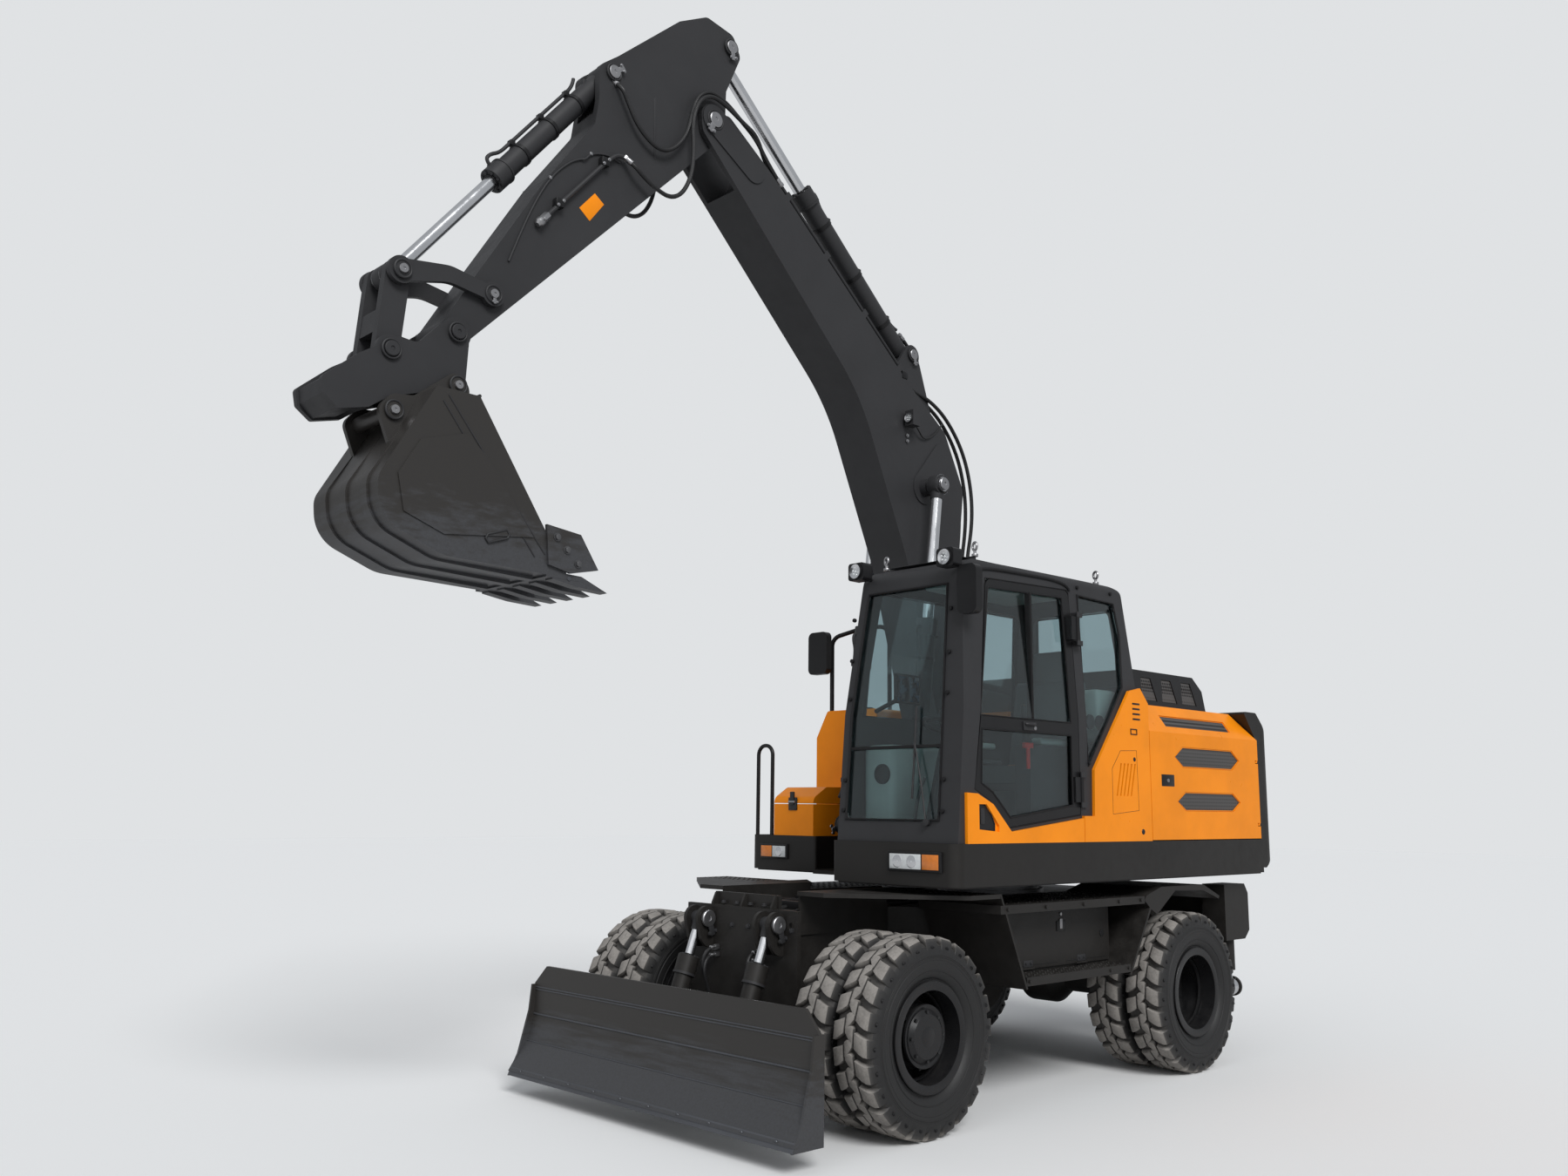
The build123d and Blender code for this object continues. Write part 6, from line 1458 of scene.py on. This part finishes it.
class EXCAVATOR_OT_hoses(bpy.types.Operator):
    """Build the hose loops over the joints and the pipes along the boom and arm"""

    bl_idname = "excavator.hoses"
    bl_label = "Hoses"

    def execute(self, context):
        count = context.scene.excavator_sizes.boom_hoses
        for step in range(count):
            x = BOOM_X + (step - 2) * HOSE_PITCH
            points = [(x, y, z + 10 * step * (index == 2)) for index, (y, z) in enumerate(FOOT_HOSE)]
            loop_hose(f"boom_foot_hose_{step}", points, 16)
        for step, (name, out, middle, last) in enumerate(TIP_HOSES):
            for side, hand in SIDES:
                x, start = BOOM_X + hand * (100 + out), BOOM_X + hand * (150 - 28 * step)
                points = [(start, -1875, 5790), (start + hand * 4, -1990, 5886),
                          (BOOM_X + hand * (160 + out) / 1.25, -2130, 6005 + 12 * step),
                          (x, -2250, 6090 - 20 * step), *side_outline(x, middle),
                          (BOOM_X + hand * (100 + last[0]), last[1], last[2])]
                loop_hose(f"boom_tip_hose_{name}_{side}", points, 13.5)
        arm_line = Piece("arm_lines")
        for _, hand in SIDES:
            out = Vector((hand, 0, 0))
            x = BOOM_X + hand * 148
            arm_line.pipe("charcoal", [(BOOM_X + hand * 160, -3140, 5502), *side_outline(x, ARM_PIPE)], 13.5)
            for y, z in ((-3285, 5428), (-3585, 5068)):
                low, high = sorted((BOOM_X + hand * 124, BOOM_X + hand * 168))
                arm_line.box("black", 6, (low, y - 30, z - 24), (high, y + 26, z + 28))
                for lift in (-16, 18):
                    arm_line.bolt("zinc", (BOOM_X + hand * 168, y + lift, z + lift), out, 8)
            arm_line.bar("zinc", (x, -3655, 4978), (x, -3700, 4924), 24, sides=6, edge=3, smooth=False)
            arm_line.turned("zinc", VALVE, (x, -3702, 4921), (0, -0.62, -0.78), 28)
            arm_line.bar("zinc", (x, -3690, 4935), (x + hand * 35, -3690, 4935), 10, sides=16, edge=2)
            x = BOOM_X + hand * 131
            arm_line.pipe("charcoal", [(x + hand * shift, y, z) for shift, y, z in THIN_PIPE], 6)
            for y, z in ((-3640, 5212), (-3372, 5456)):
                arm_line.box("zinc", 2, (x - 8, y - 9, z - 9), (x + 8, y + 9, z + 9))
        arm_line.sheet("orange", BLANK_PLATE, BOOM_X + 124.5, BOOM_X + 127, 0.8)
        arm_line.sheet("charcoal", GUSSET, BOOM_X + 124.5, BOOM_X + 127, 0.8)
        arm_line.close("arm")
        for side, hand in reversed(SIDES):
            reaches = (210, 240, RAM_X, RAM_X, RAM_X)
            points = [(BOOM_X + hand * reach, y, z) for reach, (y, z) in zip(reaches, RAM_HOSE)]
            loop_hose(f"boom_ram_hose_{side}", points, 14)
        for step, x in enumerate((BOOM_X - 34, BOOM_X + 34)):
            loop_hose(f"arm_ram_hose_{step}", side_outline(x, ARM_RAM_HOSE), 13)
        boom_line = Piece("boom_lines")
        for step in range(count):
            x = BOOM_X + (step - 2) * HOSE_PITCH
            outer = x + (step - 1) * 12
            boom_line.pipe("hose", [(outer if 1 < index < 7 else x, y + 5 * step, z)
                                    for index, (y, z) in enumerate(FOOT_LINE)], 13.5)
        for y, z in ((-655, 4772), (96, 3540), (62, 3100)):
            boom_line.box("black", 6, (BOOM_X - 120, y - 26, z - 26), (BOOM_X + 172, y + 30, z + 26))
        lamp_face(boom_line, (BOOM_X + 222, -676, 4443), (0, -1, 0), 34)
        boom_line.pipe("hose", [(BOOM_X + x, y, z) for x, y, z in LAMP_CABLE], 6)
        for z in (4330, 4290):
            boom_line.bolt("zinc", (BOOM_X + 173, -640, z), (1, 0, 0), 10)
        boom_line.close("boom")
        return {"FINISHED"}


SLOT = ((-4070, 3046), (-4053, 3024), (-3945, 3062), (-3934, 3082), (-3951, 3104), (-4059, 3066))
BUCKET_WELDS = (((-4340, 3700), (-3776, 2990)), ((-4312, 3735), (-3716, 3012)))
TOOTH_PITCH = 157.5


class EXCAVATOR_OT_bucket_details(bpy.types.Operator):
    """Build the bucket's cutter bolts, tooth pins and weld lines"""

    bl_idname = "excavator.bucket_details"
    bl_label = "Bucket details"

    def execute(self, context):
        piece = Piece("bucket_fittings")
        for hand in (-1, 1):
            for y, z in ((-3655, 3110), (-3590, 3050), (-3520, 2985)):
                piece.bolt("steel", (BOOM_X + hand * 368, y, z), (hand, 0, 0), 17)
            piece.bead("charcoal", side_outline(BOOM_X + hand * 357, SLOT), 6)
            for ends in BUCKET_WELDS:
                piece.bar("charcoal", *side_outline(BOOM_X + hand * 351, ends), 4, sides=10)
        for tooth in range(5):
            middle = BOOM_X + (tooth - 2) * TOOTH_PITCH
            for hand in (-1, 1):
                x = middle + hand * 34
                piece.bar("worn", (x, -3560, 2905), (x + hand * 4, -3560, 2905), 12, sides=20)
        piece.bar("charcoal", (BOOM_X - 348, -4137, 3770), (BOOM_X + 348, -4137, 3770), 9, sides=14)
        piece.close("bucket")
        return {"FINISHED"}


# ---------------------------------------------------------------------------- stage and finish

FLOOR_SIZE = 60.0
FLOOR_BOUNCE = (0.6, 0.6, 0.6)
SKY = (0.93, 0.96, 1.0)
SKY_STRENGTH = 0.4
SUNS = (
    # name, way, strength, softness in degrees
    ("key", (-1.0, 0.45, -0.9), 2.0, 25.0), ("fill", (-0.25, 0.9, -0.35), 0.35, 60.0),
)


def camera_place(settings):
    """Placement of the camera from its eye, heading, pitch and roll."""
    heading, pitch, roll = settings.turn
    level_part = math.cos(pitch)
    forward = Vector((math.sin(heading) * level_part, math.cos(heading) * level_part, math.sin(pitch)))
    right = Vector((math.cos(heading), -math.sin(heading), 0.0))
    up = right.cross(forward)
    level = math.cos(roll) * right + math.sin(roll) * up
    rise = math.cos(roll) * up - math.sin(roll) * right
    return Matrix.Translation(settings.eye) @ Matrix((level, rise, -forward)).transposed().to_4x4()


class EXCAVATOR_OT_stage(bpy.types.Operator):
    """Add the floor, the backdrop, the lights and the camera"""

    bl_idname = "excavator.stage"
    bl_label = "Stage"

    def execute(self, context):
        scene = context.scene
        settings = scene.excavator_stage
        material = bpy.data.materials.new("studio_floor")
        material.use_nodes = True
        tree = material.node_tree
        shader = tree.nodes["Principled BSDF"].inputs
        shown = add(tree, "ShaderNodeLightPath").outputs["Is Camera Ray"]
        toned(tree, shader, shown, opaque(FLOOR_BOUNCE), opaque(settings.floor))
        shader["Roughness"].default_value = 0.9
        shader["Specular IOR Level"].default_value = 0.1
        form = bmesh.new()
        bmesh.ops.create_grid(form, x_segments=1, y_segments=1, size=FLOOR_SIZE)
        mesh = bpy.data.meshes.new("studio_floor")
        form.to_mesh(mesh)
        form.free()
        mesh.materials.append(material)
        floor = bpy.data.objects.new("studio_floor", mesh)
        scene.collection.objects.link(floor)
        world = bpy.data.worlds.new("studio")
        world.use_nodes = True
        scene.world = world
        tree = world.node_tree
        lit = tree.nodes["Background"]
        lit.inputs["Color"].default_value = opaque(SKY)
        lit.inputs["Strength"].default_value = SKY_STRENGTH
        backdrop = opaque(scene.excavator_paint.backdrop)
        seen = add(tree, "ShaderNodeBackground", {"Color": backdrop, "Strength": 1.0})
        shown = add(tree, "ShaderNodeLightPath").outputs["Is Camera Ray"]
        mixed = add(tree, "ShaderNodeMixShader", {0: shown, 1: lit.outputs[0], 2: seen.outputs[0]})
        feed(tree, tree.nodes["World Output"].inputs[0], mixed.outputs[0])
        for name, way, strength, softness in SUNS:
            data = bpy.data.lights.new(name, "SUN")
            data.energy = strength
            data.angle = math.radians(softness)
            lamp = bpy.data.objects.new(name, data)
            lamp.matrix_world = Vector(way).to_track_quat("-Z", "Y").to_matrix().to_4x4()
            scene.collection.objects.link(lamp)
        data = bpy.data.cameras.new("camera")
        data.lens = settings.lens
        data.clip_end = 200.0
        camera = bpy.data.objects.new("camera", data)
        camera.matrix_world = camera_place(settings)
        scene.collection.objects.link(camera)
        scene.camera = camera
        scene.view_settings.view_transform = "Standard"
        return {"FINISHED"}


class EXCAVATOR_OT_cad_finish(bpy.types.Operator):
    """Give every CAD node its finish"""

    bl_idname = "excavator.cad_finish"
    bl_label = "CAD finish"

    def execute(self, context):
        for name, nodes in CAD_FINISH.items():
            for node in nodes:
                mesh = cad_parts[node].data
                mesh.materials.clear()
                mesh.materials.append(MATERIALS[name])
        return {"FINISHED"}


class EXCAVATOR_PT_panel(bpy.types.Panel):
    """Sidebar list of the machine's builders"""

    bl_label = "Wheeled Excavator"
    bl_idname = "EXCAVATOR_PT_panel"
    bl_space_type = "VIEW_3D"
    bl_region_type = "UI"
    bl_category = "Excavator"

    def draw(self, context):
        for operator in OPERATORS:
            self.layout.operator(operator.bl_idname)
        scene = context.scene
        for group in (scene.excavator_paint, scene.excavator_sizes, scene.excavator_stage):
            for name in group.__annotations__:
                self.layout.prop(group, name)


OPERATORS = (
    EXCAVATOR_OT_stage,
    EXCAVATOR_OT_cad_finish,
    EXCAVATOR_OT_tyres,
    EXCAVATOR_OT_hubs,
    EXCAVATOR_OT_blade_details,
    EXCAVATOR_OT_blade_rams,
    EXCAVATOR_OT_chassis_details,
    EXCAVATOR_OT_body_details,
    EXCAVATOR_OT_cab_details,
    EXCAVATOR_OT_pins,
    EXCAVATOR_OT_rods,
    EXCAVATOR_OT_rams,
    EXCAVATOR_OT_hoses,
    EXCAVATOR_OT_bucket_details,
)
GROUPS = (ExcavatorPaint, ExcavatorSizes, ExcavatorStage)


def register():
    """Register the settings, the operators and the panel."""
    for item in (*GROUPS, *OPERATORS, EXCAVATOR_PT_panel):
        bpy.utils.register_class(item)
    bpy.types.Scene.excavator_paint = bpy.props.PointerProperty(type=ExcavatorPaint)
    bpy.types.Scene.excavator_sizes = bpy.props.PointerProperty(type=ExcavatorSizes)
    bpy.types.Scene.excavator_stage = bpy.props.PointerProperty(type=ExcavatorStage)


def unregister():
    """Take them away again."""
    del bpy.types.Scene.excavator_stage
    del bpy.types.Scene.excavator_sizes
    del bpy.types.Scene.excavator_paint
    for item in reversed((*GROUPS, *OPERATORS, EXCAVATOR_PT_panel)):
        bpy.utils.unregister_class(item)


def main():
    """Build everything in order."""
    register()
    build_materials()
    for operator in OPERATORS:
        group, name = operator.bl_idname.split(".")
        getattr(getattr(bpy.ops, group), name)()


if __name__ == "__main__":
    main()
